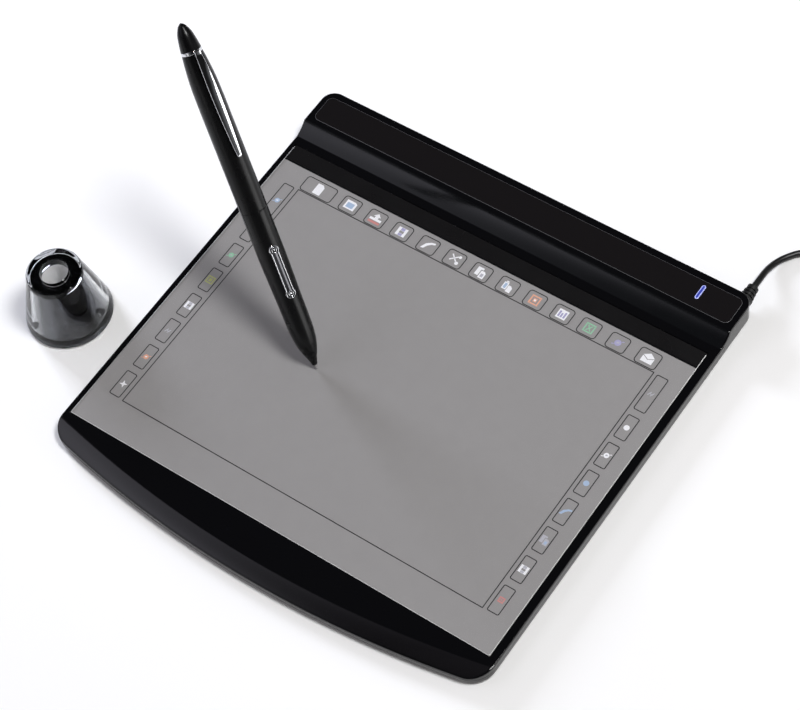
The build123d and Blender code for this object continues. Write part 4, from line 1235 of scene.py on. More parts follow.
@dataclass
class Drawing:
    """The clear film and the printed sheet under it, with its frame, keys and pictograms.

    The key table has a mark and the letters of its first and second ink for each key: the rear row from
    the left, then the left and the right column from the rear.
    """

    sides: Quad = (-114.6, 113.1, -90.5, 81.8)
    sheet_rear: float = 72.7
    sheet_base: float = 6.4
    sheet_top: float = 6.65
    sheet_corner: float = 0.3
    film_base: float = 6.68
    film_top: float = 7.03
    film_corner: float = 0.9
    film_bevel: float = 0.22
    film_under: Pair = (0.02, 0.05)
    ink: float = 0.015
    ink_gap: float = 0.001
    overprint: Pair = (1.05, 0.6)
    line: float = 0.46
    frame: Quad = (-98.0, 98.0, -73.5, 61.5)
    frame_corners: Pair = (0.3, 0.1)
    unit_mm: float = 1.35
    centre_u: Pair = (72.57, 54.43)
    rear_keys: tuple[Pair, ...] = (
        (-0.4, 12.75), (16.0, 23.4), (27.0, 34.4), (37.9, 45.2), (48.9, 56.3), (59.9, 67.3), (70.75, 78.1),
        (81.6, 89.1), (92.6, 100.0), (103.5, 110.9), (114.1, 121.6), (125.3, 132.7), (136.6, 144.8),
    )
    rear_row: Pair = (100.3, 106.9)
    side_columns: tuple[Pair, ...] = ((-6.1, -1.6), (146.5, 151.0))
    side_keys: tuple[Pair, ...] = (
        (85.0, 100.0), (72.9, 82.6), (60.9, 70.6), (49.0, 58.7), (36.9, 46.6), (25.0, 34.7), (12.9, 22.6),
        (0.1, 10.5),
    )
    key_corners: Pair = (1.3, 0.7)
    mark_sizes: Pair = (1.3, 1.05)
    marks: tuple[str, ...] = (
        "PAGE wp FOLDER wb TRAY wr DISK wv BRUSH wp CUT wp COPY wp PASTE wb CHART ow TEXT wv TABLE gw "
        "GLOBE vp MAIL wp",
        "GLOBE bw DOT wb GLOBE gp CHART yy DISK wp DASH pp GLOBE ow STAR ww",
        "DASH pp DOT wp GLOBE wp DOT bw BRUSH bb COPY pb DISK wp RING rw",
    )

    def make(self) -> None:
        """Build the sheet with its print, and the film."""
        self.make_sheet()
        self.make_film()

    def slab(self, shape: Shape, loops: Sequence[Any], base: float, top: float, ink: str = "") -> None:
        """A closed flat slab inside its first loop and outside a second, which runs the other way.

        Args:
            shape: what it goes to.
            loops: one or two outlines, n, 2.
            base: height of its underside.
            top: height of its upper side.
            ink: letter of its ink, or nothing for the sheet itself.
        """
        finish = list(INKS).index(ink) + 1 if ink else 0
        for level in (base, top):
            shape.plate([at_height(loop, level) for loop in loops], finish)
        for loop in loops:
            shape.facets(loop, base, top, finish)

    def make_sheet(self) -> None:
        """Build the sheet: grey field, frame line, and the keys with their marks."""
        shape = Shape()
        left, right, front, _ = self.sides
        outline = rounded_box((left, right, front, self.sheet_rear), 0, self.sheet_corner, 2)
        self.slab(shape, [outline], self.sheet_base, self.sheet_top)
        levels = (self.sheet_top + self.ink_gap, self.sheet_top + self.ink)
        (corner, inner_corner), half = self.frame_corners, self.line / 2
        inner = rounded_box(self.frame, -half, inner_corner, 3)
        self.slab(shape, [rounded_box(self.frame, half, corner, 3), inner[::-1]], *levels, "k")
        words = " ".join(self.marks).split()
        for (box, radius, size), name, inks in zip(self.keys(), words[::2], words[1::2]):
            inner = rounded_box(box, -self.line, radius - self.line, 5)
            self.slab(shape, [rounded_box(box, 0, radius, 5), inner[::-1]], *levels, "k")
            centre = np.array([(box[0] + box[1]) / 2, (box[2] + box[3]) / 2])
            self.draw(shape, Mark[name], centre, size, levels, inks)
        finishes = [SHEET_GREY, *INKS.values()]
        shape.build("printed_sheet", Body.TABLET, "printed_sheet", finishes, "insert_sheet")

    def keys(self) -> list[tuple[Quad, float, float]]:
        """Work out all keys from the print's own units.

        Returns:
            Sides, corner radius and the size of the mark of each.
        """
        found = [(u, self.rear_row, 0) for u in self.rear_keys]
        found += [(u, v, 1) for u in self.side_columns for v in self.side_keys]
        corner, scale, (cu, cv) = self.key_corners, self.unit_mm, self.centre_u
        return [
            (tuple((p - c) * scale for p, c in zip((*u, *v), (cu, cu, cv, cv))), corner[kind] * scale,
             self.mark_sizes[kind])
            for u, v, kind in found
        ]

    def draw(self, shape: Shape, mark: Mark, centre: Array, size: float, levels: Pair, inks: str) -> None:
        """Draw one mark: straight-sided areas given by their corners, the second ink a trace higher.

        Args:
            shape: what it goes to.
            mark: which mark.
            centre: of the key.
            size: of the mark.
            levels: heights of the ink's underside and upper side.
            inks: the letters of its first and second ink.
        """
        base, top = levels
        low, high = (share * (top - base) for share in self.overprint)
        for layer, (ink, areas) in enumerate(zip(inks, mark.value)):
            for corners in areas:
                loop = np.array(corners, dtype=float) * size + centre
                self.slab(shape, [loop], base + layer * low, top + layer * high, ink)

    def make_film(self) -> None:
        """Build the film: a flat slab with a bevelled cut edge, which wears a painted highlight but at the
        rear.
        """
        shape = Shape()
        corner, bevel, base, top = self.film_corner, self.film_bevel, self.film_base, self.film_top
        inset, lift = self.film_under
        section = ((inset, base), (0, base + lift), (0, top - bevel * 0.7), (bevel, top))
        rings = [at_height(rounded_box(self.sides, -r, corner - r, 6), level) for r, level in section]
        edge = np.stack(rings)
        at_rear = np.nonzero(edge[0, :, 1] > self.sides[3] - corner - TINY_MM)[0]
        first, count = int(at_rear.min()), edge.shape[1]
        split = int(at_rear.max()) - first
        around = [(first + i) % count for i in range(count + 1)]
        # The cut edge stays clear at the rear and wears the painted highlight elsewhere.
        shape.grid(edge[:, around[: split + 1]], finish=0)
        shape.grid(edge[:, around[split:]], finish=1)
        shape.plate([edge[-1]])
        shape.plate([edge[0]])
        shape.build("film_sheet", Body.FILM, "film_clear", [FILM_CLEAR, FILM_EDGE_HIGHLIGHT], "film_cover")


# Pen


def pen_place(turn: float = 9.0) -> Place:
    """The pen's frame: its own axis up, from the tip of the nib.

    The axis leans from upright towards its heading. The switch side is the steepest line across the
    axis, turned about it. The nib's round end rests on the film.

    Args:
        turn: degrees about the pen's axis.

    Returns:
        The frame.
    """
    level, upright, about = math.sin(PEN_LEAN), math.cos(PEN_LEAN), math.radians(turn)
    up = np.array([level * math.cos(PEN_HEADING), level * math.sin(PEN_HEADING), upright])
    steep = unit(np.array([0, 0, 1]) - up * up[2])
    right = steep * math.cos(about) + np.cross(up, steep) * math.sin(about)
    x, y, z = PEN_TOUCH
    nib = np.array([x, y, z + NIB_ROUND * (1 - upright)])
    return Place(nib, right, np.cross(up, right), up)


def standing(loop: Array, level: Level) -> Array:
    """Put a loop of across and along at a distance from the pen's axis."""
    return np.column_stack([np.broadcast_to(level, len(loop)), loop])


@dataclass
class Pen:
    """The battery pen, in the order nib, cone, grip, switch, rear barrel, ring, cap and clip.

    Pairs are radius and place along the pen in profiles, and place and value in knots.
    """

    place: Place = field(default_factory=pen_place)
    length: float = 168.0
    body: float = 6.25
    nib_ball: Pair = (0.75, 0.76)
    nib_rod: tuple[Pair, ...] = ((0.8, 2.0), (0.8, 27.2), (0.0, 27.2))
    cone_bore: Pair = (1.0, 6.0)
    cone_back: float = 3.3
    cone_bevels: tuple[Pair, Pair] = ((0.12, 0.25), (0.1, 0.08))
    cone: tuple[Pair, ...] = ((2.2, 1.25), (4.5, 1.85), (9.6, 3.75), (12.6, 4.62))
    grip: tuple[Pair, ...] = (
        (12.6, 4.62), (14.7, 5.0), (19.8, 5.55), (24.8, 5.7), (34.9, 5.8), (44.8, 6.02), (54.8, 6.23),
        (58.0, 6.25),
    )
    grip_mouth: float = 3.4
    grip_bevel: Pair = (0.1, 0.06)
    seam: float = 79.9
    seam_gap: float = 0.12
    spigot: Pair = (5.2, 85.9)
    spigot_bevel: float = 0.3
    rear: tuple[Pair, ...] = ((132.0, 6.25), (141.3, 6.02), (150.7, 5.2), (154.2, 4.75))
    rear_bevel: Pair = (0.1, 0.06)
    rear_bore: Pair = (5.3, 137.0)
    ring: Triple = (154.2, 155.8, 4.75)
    ring_round: float = 0.25
    cap: tuple[Pair, ...] = ((155.8, 4.65), (159.5, 4.1), (163.6, 3.2), (166.6, 1.8))
    switch: Pair = (37.2, 63.2)
    switch_end: float = 2.3
    switch_waist: float = 1.85
    window: Pair = (math.radians(38), 4.5)
    rim: float = 0.5
    rim_top: float = 6.425
    rim_round: Pair = (0.2, 0.25)
    mouth_gap: float = 0.02
    pocket_depth: float = 1.9
    rocker_gap: float = 0.15
    rocker_top: float = 6.625
    rocker_depth: float = 2.4
    rocker_round: float = 0.55
    rocker_bow: float = 0.3
    rocker_edge: float = 0.7
    rocker_face: tuple[Pair, Pair] = ((-0.9, 0.08), (-1.15, 0.05))
    boss_drop: float = 0.35
    boss_ring: Quad = (1.05, 0.22, 0.3, 0.2)
    boss_flat: Pair = (0.84, 0.32)
    boss_dome: Triple = (0.42, 0.1, 0.2)
    clip_turn: float = 15.0
    clip_line: tuple[Pair, ...] = (
        (105.8, 7.03), (108.5, 7.0), (130.0, 6.75), (141.0, 6.5), (150.5, 5.85), (153.2, 5.3),
    )
    clip_plan: tuple[Pair, ...] = (
        (105.8, 1.9), (108.0, 2.3), (112.0, 2.8), (118.0, 3.4), (124.0, 3.85), (130.0, 4.15), (136.0, 4.3),
        (142.0, 4.15), (148.0, 3.7), (153.2, 3.0), (155.8, 2.7),
    )
    clip_skin: float = 1.5
    clip_edge: float = 0.35
    clip_bevel: float = 0.15
    clip_trim: float = 0.3
    clip_tip: float = 0.25
    clip_crown: float = 8.0
    clip_foot: tuple[Quad, Pair] = ((-0.85, 0.85, 106.3, 109.3), (6.55, 7.2))
    clip_root: tuple[Quad, Pair] = ((-1.3, 1.3, 153.4, 155.75), (5.08, 6.1))

    def make(self) -> None:
        """Build all the pen's outer pieces."""
        self.make_tip()
        self.make_barrel()
        self.make_bezel()
        self.make_rocker()
        self.make_rear()
        self.make_clip()

    def turn_piece(self, profile: Array, name: str, body: Body, slot: str, finish: Finish, node: str) -> None:
        """Turn a profile and build it on the pen's axis."""
        turned(profile, PEN_SEGMENTS).build(name, body, slot, [finish], node, self.place)

    def make_tip(self) -> None:
        """Build the nib, a rod with a ball end, and the nose cone round it."""
        radius, middle = self.nib_ball
        ball = arc(0, middle, radius, radius, np.linspace(-QUARTER, 0, 10)[1:])
        profile = chain((0.0, ball[0, 1]), ball, self.nib_rod)
        self.turn_piece(profile, "pen_nib", Body.NIB, "nib_plastic", NIB_POM, "nib")
        (tip, thin), (end, thick) = self.cone[0], self.cone[-1]
        (r0, run0), (r1, run1) = self.cone_bevels
        outside = knotted(self.cone, np.linspace(tip + run0, end - run1, 28))
        front = chain(self.cone_bore, (self.cone_bore[0], tip), (thin - r0, tip))
        profile = chain(front, outside, (thick - r1, end), (self.cone_back, end), self.cone_bore)
        self.turn_piece(profile, "pen_nose_cone", Body.PEN_FRONT, "pen_gloss", PEN_BLACK, "nose_cone")

    def radius(self, along: Array) -> Array:
        """The front barrel's radius at places along the pen."""
        return curve_through(self.grip, np.minimum(along, self.grip[-1][0]))

    def bone(self, grow: float) -> Array:
        """The switch's dog-bone outline: two round ends joined by a straight waist.

        Each end is its circle as far as the circle meets the waist, where the cosine of the angle is
        waist over radius.

        Args:
            grow: how far outside the plain outline.

        Returns:
            Across and along the pen, n, 2, counter-clockwise.
        """
        low, high = self.switch
        end, waist = self.switch_end + grow, self.switch_waist + grow
        meet = math.acos(waist / end)
        top = arc(0, high - self.switch_end, end, end, np.linspace(-meet, math.pi + meet, 29))
        run = np.linspace(top[-1, 1], low + high - top[-1, 1], 21)[1:-1]
        half = chain(top, np.stack([np.full_like(run, -waist), run], axis=1))
        return chain(half, half * [-1, -1] + [0, low + high])

    def make_barrel(self) -> None:
        """Build the front barrel.

        The turned surface is left open in a window round the switch. Inside the window runs the
        dog-bone mouth, and the rows between blend from the mouth to the window, each point put back
        on the turned surface. Both loops are angle and place along, counter-clockwise.
        """
        shape, around = Shape(), circle(PEN_SEGMENTS)
        half, beyond = self.window
        start, low, high = self.grip[0][0], self.switch[0] - beyond, self.switch[1] + beyond
        drop, run = self.grip_bevel
        front = np.array([start, start + run, *np.linspace(start, low, 25)[1:]])
        back = np.array([*np.linspace(high, self.seam - self.seam_gap, 20), self.seam])
        brink = chain((self.grip_mouth, start), (self.grip[0][1] - drop, start))
        shape.grid(lathe(brink, PEN_SEGMENTS), wrap=True)
        for at, end, inset in ((front, 0, drop), (back, -1, self.seam_gap)):
            profile = np.stack([self.radius(at), at], axis=1)
            profile[end, 0] -= inset
            shape.grid(lathe(profile, PEN_SEGMENTS), wrap=True, crease=False)
        (wide, end), bevel = self.spigot, self.spigot_bevel
        spigot = chain((self.body - self.seam_gap, self.seam), (wide, self.seam), (wide, end - bevel))
        shape.grid(lathe(chain(spigot, (wide - bevel, end)), PEN_SEGMENTS), wrap=True)
        shape.plate([polar(wide - bevel, around, end)])
        shape.plate([polar(self.grip_mouth, around, start)])
        signed = np.where(around > math.pi, around - 2 * math.pi, around)
        window = np.sort(signed[np.abs(signed) <= half])
        rest = around[(around >= window[-1] - 1e-9) & (around <= 2 * math.pi + window[0] + 1e-9)]
        rows = np.linspace(low, high, 37)
        shape.grid(polar(self.radius(rows)[:, None], rest, rows[:, None]), crease=False)
        grid = np.stack(np.meshgrid(window, rows), axis=-1)
        outer = chain(grid[:-1, -1], grid[-1, :0:-1], grid[:0:-1, 0], grid[0, :-1])
        mouth = self.match(self.bone(self.mouth_gap), outer)
        blend = np.linspace(0, 1, 13)[:, None, None]
        angle, along = np.moveaxis((1 - blend) * mouth + blend * outer, -1, 0)
        shape.grid(polar(self.radius(along), angle, along), wrap=True, crease=False)
        rim = polar(self.radius(mouth[:, 1]), mouth[:, 0], mouth[:, 1])
        sunk = standing(rim[:, 1:], self.rim_top - self.pocket_depth)
        shape.grid(np.stack([rim, sunk]), wrap=True)
        shape.plate([sunk])
        shape.build("pen_front_barrel", Body.PEN_FRONT, "pen_gloss", [PEN_BLACK], "front_barrel", self.place)

    def bearing(self, x: Array, y: Array) -> Array:
        """The angle about the switch's middle, with the width stretched to the length."""
        low, high = self.switch
        return np.unwrap(np.arctan2(y - (low + high) / 2, x * ((high - low) / (2 * self.switch_end))))

    def match(self, bone: Array, outer: Array) -> Array:
        """Find the dog-bone's point for each point of the window, by its bearing from the middle.

        Args:
            bone: the dog-bone, across and along.
            outer: the window, angle and along.

        Returns:
            Angle and place along for every window point.
        """
        ends = zip(bone, np.roll(bone, -1, axis=0))
        dense = np.concatenate([a + (b - a) * np.linspace(0, 1, 12)[:-1, None] for a, b in ends])
        angle = self.bearing(*dense.T)
        wide = self.bearing(outer[:, 0] * self.body * 0.55, outer[:, 1])
        thrice = np.concatenate([angle - 2 * math.pi, angle, angle + 2 * math.pi])
        order = np.argsort(thrice)
        x, y = (np.interp(wide, thrice[order], np.tile(column, 3)[order]) for column in dense.T)
        return np.stack([np.arcsin(x / self.radius(y)), y], axis=1)

    def make_bezel(self) -> None:
        """Build the chrome bezel round the switch, whose rim is half an ellipse across."""
        base, half, (drop, crown) = self.rim_top - self.pocket_depth, self.rim / 2, self.rim_round
        brim = self.rim_top - drop
        rim = arc(-half, brim, half, crown, np.linspace(0, math.pi, 9)[1:-1])
        rows = chain((0.0, base), (0.0, brim), rim, (-self.rim, brim), (-self.rim, base), (0.0, base))
        shape = Shape()
        shape.grid(np.stack([standing(self.bone(grow), level) for grow, level in rows]), wrap=True)
        shape.build("switch_bezel_ring", Body.PEN_FRONT, "pen_chrome", [CHROME], "switch_bezel", self.place)

    def make_rocker(self) -> None:
        """Build the rocker: a pillow with a quarter round edge and a hollow back, and a boss at each end."""
        shape = Shape()
        top, low, r = self.rocker_top, self.rocker_top - self.rocker_depth, self.rocker_round
        brim = top - self.rocker_edge
        edge = arc(-r, brim, r, r, np.linspace(0, QUARTER, 8)[1:])
        face = [(inset, top - drop) for inset, drop in self.rocker_face]
        profile = chain((0.0, low), (0.0, brim), edge, *face)
        half = (self.switch[1] - self.switch[0]) / 2
        rows = []
        for grow, level in profile:
            loop = self.bone(grow - self.rim - self.rocker_gap)
            sag = (1 - ((loop[:, 1] - self.switch[0] - half) / half) ** 2) * self.rocker_bow
            rows.append(standing(loop, level - (sag if level > low + 0.5 else 0)))
        shape.grid(np.stack(rows), wrap=True, crease=False)
        shape.plate([rows[0]])
        shape.grid(np.stack([rows[-1], rows[-1] * [1, 0, 1]]), wrap=True)
        for along in (self.switch[0] + self.switch_end, self.switch[1] - self.switch_end):
            self.boss(shape, along)
        finishes = [ROCKER_PAINT, CHROME, PEN_BLACK]
        shape.build("pen_rocker", Body.ROCKER, "pen_gloss", finishes, "switch_rocker", self.place)

    def boss(self, shape: Shape, along: float) -> None:
        """A ringed dot on the rocker: a half-round ring, a flat inside it and a small dome.

        Args:
            shape: the rocker.
            along: where on the pen.
        """
        level = self.rocker_top - self.boss_drop
        middle, half, lift, crown = self.boss_ring
        brow, bead = level + lift, arc(middle, level + lift, -half, crown, np.linspace(0, math.pi, 9))
        ring = chain((middle - half, level), bead, (middle + half, level), (middle - half, level))
        (wide, flat), (dot, sunk, crown) = self.boss_flat, self.boss_dome
        flat += level
        plain = chain((0.0, level), (wide, level), (wide, flat), (dot, flat), (0.0, flat))
        cap = arc(0, brow, dot, crown, np.linspace(0, QUARTER, 7))
        dome = chain((0.0, level + sunk), (dot, level + sunk), cap)
        for profile, finish in ((ring, 1), (plain, 2), (dome, 1)):
            grid = lathe(profile, BOSS_SEGMENTS)[..., [2, 0, 1]] + [0, 0, along]
            shape.grid(grid, wrap=True, finish=finish)

    def make_rear(self) -> None:
        """Build the rear barrel with its bore, the ring and the cap, whose end is a dome."""
        (first, _), (last, thin) = self.rear[0], self.rear[-1]
        (bore, deep), gap = self.rear_bore, self.seam_gap
        mouth = chain((bore, self.seam), (self.body - gap, self.seam), (self.body, self.seam + gap))
        drop, run = self.rear_bevel
        outside = knotted(self.rear, np.linspace(first, last - run, 30))
        profile = chain((0.0, deep), (bore, deep), mouth, outside, (thin - drop, last), (0.0, last))
        self.turn_piece(profile, "pen_rear_barrel", Body.PEN_REAR, "pen_gloss", PEN_BLACK, "rear_barrel")
        (low, high, radius), r = self.ring, self.ring_round
        lower = arc(radius - r, low + r, r, r, np.linspace(-QUARTER, 0, 5)[1:])
        upper = arc(radius - r, high - r, r, r, np.linspace(0, QUARTER, 5))
        profile = chain((0.0, low), (radius - r, low), lower, upper, (0.0, high))
        self.turn_piece(profile, "pen_cap_ring", Body.PEN_REAR, "pen_chrome", CHROME, "cap_ring")
        start, (tip, thin) = self.cap[0][0], self.cap[-1]
        u = np.sin(np.linspace(0, QUARTER, 9))[1:-1]
        dome = np.stack([thin * (1 - u * (0.55 + 0.45 * u)), tip + (self.length - tip) * u], axis=1)
        side = knotted(self.cap, np.linspace(start, tip, 22))
        profile = chain((0.0, start), side, dome, (0.0, self.length))
        self.turn_piece(profile, "pen_end_cap", Body.PEN_REAR, "pen_gloss", PEN_BLACK, "end_cap")

    def make_clip(self) -> None:
        """Build the clip as one sweep along its side line, with its foot and root.

        The section is a leaf's: its outer face is an arc across, its edges are round and its inner face
        is flat. It follows the line of the clip's inner face, stands square to it, and narrows to a
        half round over the last millimetre at the tip.
        """
        (tip, _), (end, _) = self.clip_plan[0], self.clip_plan[-1]
        bend = np.linspace(0, QUARTER, 8)
        at = np.concatenate([tip + (1 - np.cos(bend)), np.linspace(tip + 1, end - self.clip_trim, 70)[1:]])
        line = curve_through(self.clip_line, np.minimum(at, self.clip_line[-1][0]))
        tilt = np.arctan(np.gradient(line, at))
        close = np.sqrt(np.maximum(1 - np.clip(tip + 1 - at, 0, 1) ** 2, 0))
        wide = curve_through(self.clip_plan, at) * np.maximum(close, self.clip_tip)
        thick = self.clip_skin * (0.5 + 0.5 * close)
        rows = [self.clip_section(*values) for values in zip(at, line, tilt, wide, thick)]
        shape = Shape()
        shape.grid(np.stack(rows), wrap=True, crease=False)
        shape.plate([rows[0]])
        shape.plate([rows[-1]])
        for box, (low, high) in (self.clip_foot, self.clip_root):
            loop = rounded_box(box, 0, 0.5, 5)
            shape.grid(np.stack([standing(loop, low), standing(loop, high)]), wrap=True)
            shape.plate([standing(loop, low)])
            shape.plate([standing(loop, high)])
        shape.build("pen_clip", Body.CLIP, "pen_chrome", [CHROME], "clip", pen_place(self.clip_turn))

    def clip_section(self, s: float, r: float, tilt: float, width: float, thick: float) -> Array:
        """One section of the clip, square to its line.

        Args:
            s: place along the pen.
            r: distance of the inner face from the pen's axis.
            tilt: of the line against the axis.
            width: across.
            thick: at the middle.

        Returns:
            A loop of points, n, 3.
        """
        half = width / 2
        edge = min(self.clip_edge, half * 0.5)
        sag = (half - edge) ** 2 / (2 * self.clip_crown)
        round_edge = arc(edge - half, thick - sag - edge, -edge, edge, np.linspace(0, QUARTER, 5)[:-1])
        side = chain((self.clip_bevel - half, 0.0), (-half, self.clip_bevel), round_edge)
        y = np.linspace(edge - half, half - edge, 13)
        crown = np.stack([y, thick - y**2 / (2 * self.clip_crown)], axis=1)
        across, level = chain(side, crown, side[::-1] * [-1, 1]).T[..., None]
        return np.array([r, 0, s]) + level * [math.cos(tilt), 0, -math.sin(tilt)] + across * [0, 1, 0]


# Stand


@dataclass
class Stand:
    """The pen stand: a clear cone with a mirror-dark core, and a base plate on a rubber pad.

    Pairs are radius and height. The core's and the room's sides run from the desk to the plate.
    """

    at: Pair = (-153.0, -46.0)
    foot: Pair = (20.9, 1.2)
    crown: Pair = (12.9, 34.0)
    crown_round: float = 1.0
    rim_round: float = 0.5
    foot_round: float = 0.4
    inner_rounds: Pair = (0.2, 0.3)
    hole: Pair = (6.6, 6.0)
    plate: float = 30.0
    room: Pair = (17.95, 11.75)
    core: Pair = (17.8, 11.6)
    core_base: float = 2.5
    core_rise: float = 1.0
    core_gap: float = 0.1
    cavity: Pair = (12.2, 5.3)
    base: Triple = (19.4, 0.8, 2.5)
    pad: Pair = (17.9, 0.8)
    pad_round: float = 0.25

    def make(self) -> None:
        """Build the shell and the core, and the base and pad under them."""
        place = Place(np.array([*self.at, 0.0]), *np.eye(3))
        (r0, z0), (r1, z1), (hole, floor), plate = self.foot, self.crown, self.hole, self.plate
        room0 = self.room[0] - (self.room[0] - self.room[1]) * z0 / plate
        small, large = self.inner_rounds
        shell = rounded(
            (hole, plate, 0), (hole, z1, self.rim_round), (r1, z1, self.crown_round),
            (r0, z0, self.foot_round), (room0, z0, small), (self.room[1], plate, large), (hole, plate, 0),
        )
        slope = (self.core[0] - self.core[1]) / plate
        low, shoulder = self.core[0] - slope * self.core_base, self.core[1] + slope
        lid = plate - self.core_gap
        neck = lid - self.core_rise
        wide, deep = self.cavity
        well = np.array([(0.0, floor), (hole, floor), (hole, lid - large)])
        top = rounded(
            (hole, lid - large, 0), (hole, lid, small), (self.core[1], lid, large), (shoulder, neck, 0)
        )
        side = rounded(
            (shoulder, neck, 0), (low, self.core_base, large), (wide, self.core_base, 0), (wide, deep, 0),
            (0.0, deep, 0),
        )
        radius, b0, b1 = self.base
        edge = self.foot_round
        base = rounded((0.0, b0, 0), (radius, b0, edge), (radius, b1, edge), (0.0, b1, 0))
        radius, b1 = self.pad
        pad = rounded((0.0, 0.0, 0), (radius, 0.0, self.pad_round), (radius, b1, 0), (0.0, b1, 0))
        core = Shape()
        # The wall of the hole wears the painted highlight.
        for profile, finish in ((well[:2], 2), (well[1:], 1), (top, 2), (side, 0)):
            core.grid(lathe(profile, STAND_SEGMENTS), wrap=True, finish=finish)
        # The core's side wears the painted reflection streaks.
        core_finishes = [CORE_MIRROR, CORE_HOLE_HIGHLIGHT, CORE_RING]
        clear, disc_base, disc_pad = (turned(profile, STAND_SEGMENTS) for profile in (shell, base, pad))
        for shape, name, slot, finishes, node in (
            (clear, "stand_clear_shell", "stand_clear", [STAND_ACRYLIC], "stand_shell"),
            (core, "stand_dark_core", "stand_dark", core_finishes, "stand_core"),
            (disc_base, "stand_base_plate", "stand_steel", [BASE_STEEL], "stand_base"),
            (disc_pad, "stand_rubber_pad", "foot_rubber", [FOOT_RUBBER], "stand_pad"),
        ):
            shape.build(name, Body.STAND, slot, finishes, node, place)


# Cord


@dataclass
class Cord:
    """The USB cord: out of the strain relief, in a coil of fourteen turns, to the plug."""

    width: float = 3.0
    length: float = 1549.0
    start: tuple[Triple, ...] = (
        (112.0, 122.6, 5.5), (112.0, 129.0, 5.5), (111.3, 137.0, 2.6), (113.8, 145.5, 1.6),
        (121.4, 154.7, 1.6), (144.403, 167.034, 2.2), (155.207, 172.257, 2.2),
    )
    centre: Triple = (165.0, 152.0, 0.0)
    turns: float = 14.0
    per_turn: int = 24
    pitch: float = 4.0
    radii: Pair = (10.5, 22.5)
    base: float = 2.2
    first_angle: float = 115.8
    winding: float = 3.0
    climbing: float = 0.5
    bend: float = 12.0
    rises: Triple = (0.35, 1.2, 1.55)
    plug_run: float = 3.0

    def station(self, turns: float) -> tuple[Array, float, float]:
        """Where the coil is after so many turns.

        A layer winds three turns in or out at the pitch, then climbs to the next layer in half a turn
        by a raised cosine.

        Args:
            turns: from the coil's start.

        Returns:
            The direction from the coil's axis, and the radius and height.
        """
        cycle = self.winding + self.climbing
        layer = min(int(turns / cycle), 3)
        rest = turns - cycle * layer
        spiral = min(rest, self.winding) * self.pitch
        radius = self.radii[1] - spiral if layer % 2 == 0 else self.radii[0] + spiral
        climb = max(0.0, rest - self.winding) / self.climbing
        height = self.base + self.pitch * (layer + (1 - math.cos(math.pi * climb)) / 2)
        angle = math.radians(self.first_angle - 360 * turns)
        return np.array([math.cos(angle), math.sin(angle), 0.0]), radius, height

    def points(self) -> Array:
        """The control points of the whole route.

        In the coil they lie outside the curve by one over the cosine of half a step. The last bend runs
        inward through the corners of its tangent polygon, and rises into the plug.

        Returns:
            Points in millimetres, n, 3.
        """
        up = np.array([0.0, 0.0, 1.0])
        route = [np.array(point) for point in self.start]
        grow = 1 / math.cos(math.pi / self.per_turn)
        for i in range(1, int(self.turns * self.per_turn)):
            radial, radius, height = self.station(i / self.per_turn)
            route.append(self.centre + radial * (radius * grow) + up * height)
        radial, radius, height = self.station(self.turns)
        heading = np.cross(radial, up)
        stop = self.centre + radial * radius + up * height
        reach, bend = self.bend * math.tan(math.pi / 8), self.bend
        early, later, top = self.rises
        inside = bend + self.plug_run
        ends = (
            (0, 0, 0), (0, reach, early), (bend - reach, bend, later), (bend, bend, top), (inside, bend, top),
        )
        route += [stop - radial * inward + heading * ahead + up * rise for inward, ahead, rise in ends]
        return np.array(route)

    def make(self) -> None:
        curve = bpy.data.curves.new("usb_cord", "CURVE")
        curve.dimensions = "3D"
        curve.bevel_depth = self.width / 2 * MM
        curve.bevel_resolution = 5
        curve.resolution_u = 3
        curve.use_fill_caps = True
        spline = curve.splines.new("NURBS")
        route = self.points()
        spline.points.add(len(route) - 1)
        spline.points.foreach_set("co", np.column_stack([route * MM, np.ones(len(route))]).ravel())
        spline.order_u = 3
        spline.use_endpoint_u = True
        curve.materials.append(material_of(JACKET_PVC))
        piece = bpy.data.objects.new("usb_cord", curve)
        bpy.context.scene.collection.objects.link(piece)
        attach(piece, Body.TABLET.value)
        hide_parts("usb_lead", "usb_coil")
        LOG.info("usb_cord: %d control points on %s", len(route), Body.TABLET.value)


# CAD nodes that are shown as packed and only take a finish.
KEPT: dict[Finish, str] = {
    BOARD_GREEN: "sensor_board main_board pen_board",
    SHIELD_STEEL: "shield_plate",
    CHIP_EPOXY: "controller_chip tact_switches pin_header",
    SOLDER: "board_parts front_contact pressure_sensor nib_holder",
    LAMP_CHIP: "status_led",
    CONNECTOR_NYLON: "board_connector",
    TAPE: "hinge_tape",
    JACKET_PVC: "cable_tail",
    SCREW_STEEL: "board_screws cover_screws",
    FOOT_RUBBER: "corner_feet centre_foot",
    RELIEF_TPE: "strain_relief plug_grip",
    TIE_NYLON: "coil_tie",
    PLUG_STEEL: "plug_shell",
    PLUG_WHITE: "plug_tongue",
    FERRITE: "antenna_core",
    COPPER: "antenna_winding",
    SPRING_STEEL: "battery_spring",
    CELL_WRAP: "battery_cell",
    STAND_PIN: "stand_pins stand_weight",
}


def dress_kept(frame: dict[str, Any]) -> None:
    """Give every carried-over CAD node its finish and smooth its shading.
    """
    for finish, names in KEPT.items():
        for name in names.split():
            piece = frame["nodes"][name]
            if not piece.material_slots:
                piece.data.materials.append(None)
            for place in piece.material_slots:
                place.material = material_of(finish)
            piece.data.shade_smooth()
            LOG.info("%s: kept, in %s", name, finish.name)


# Studio


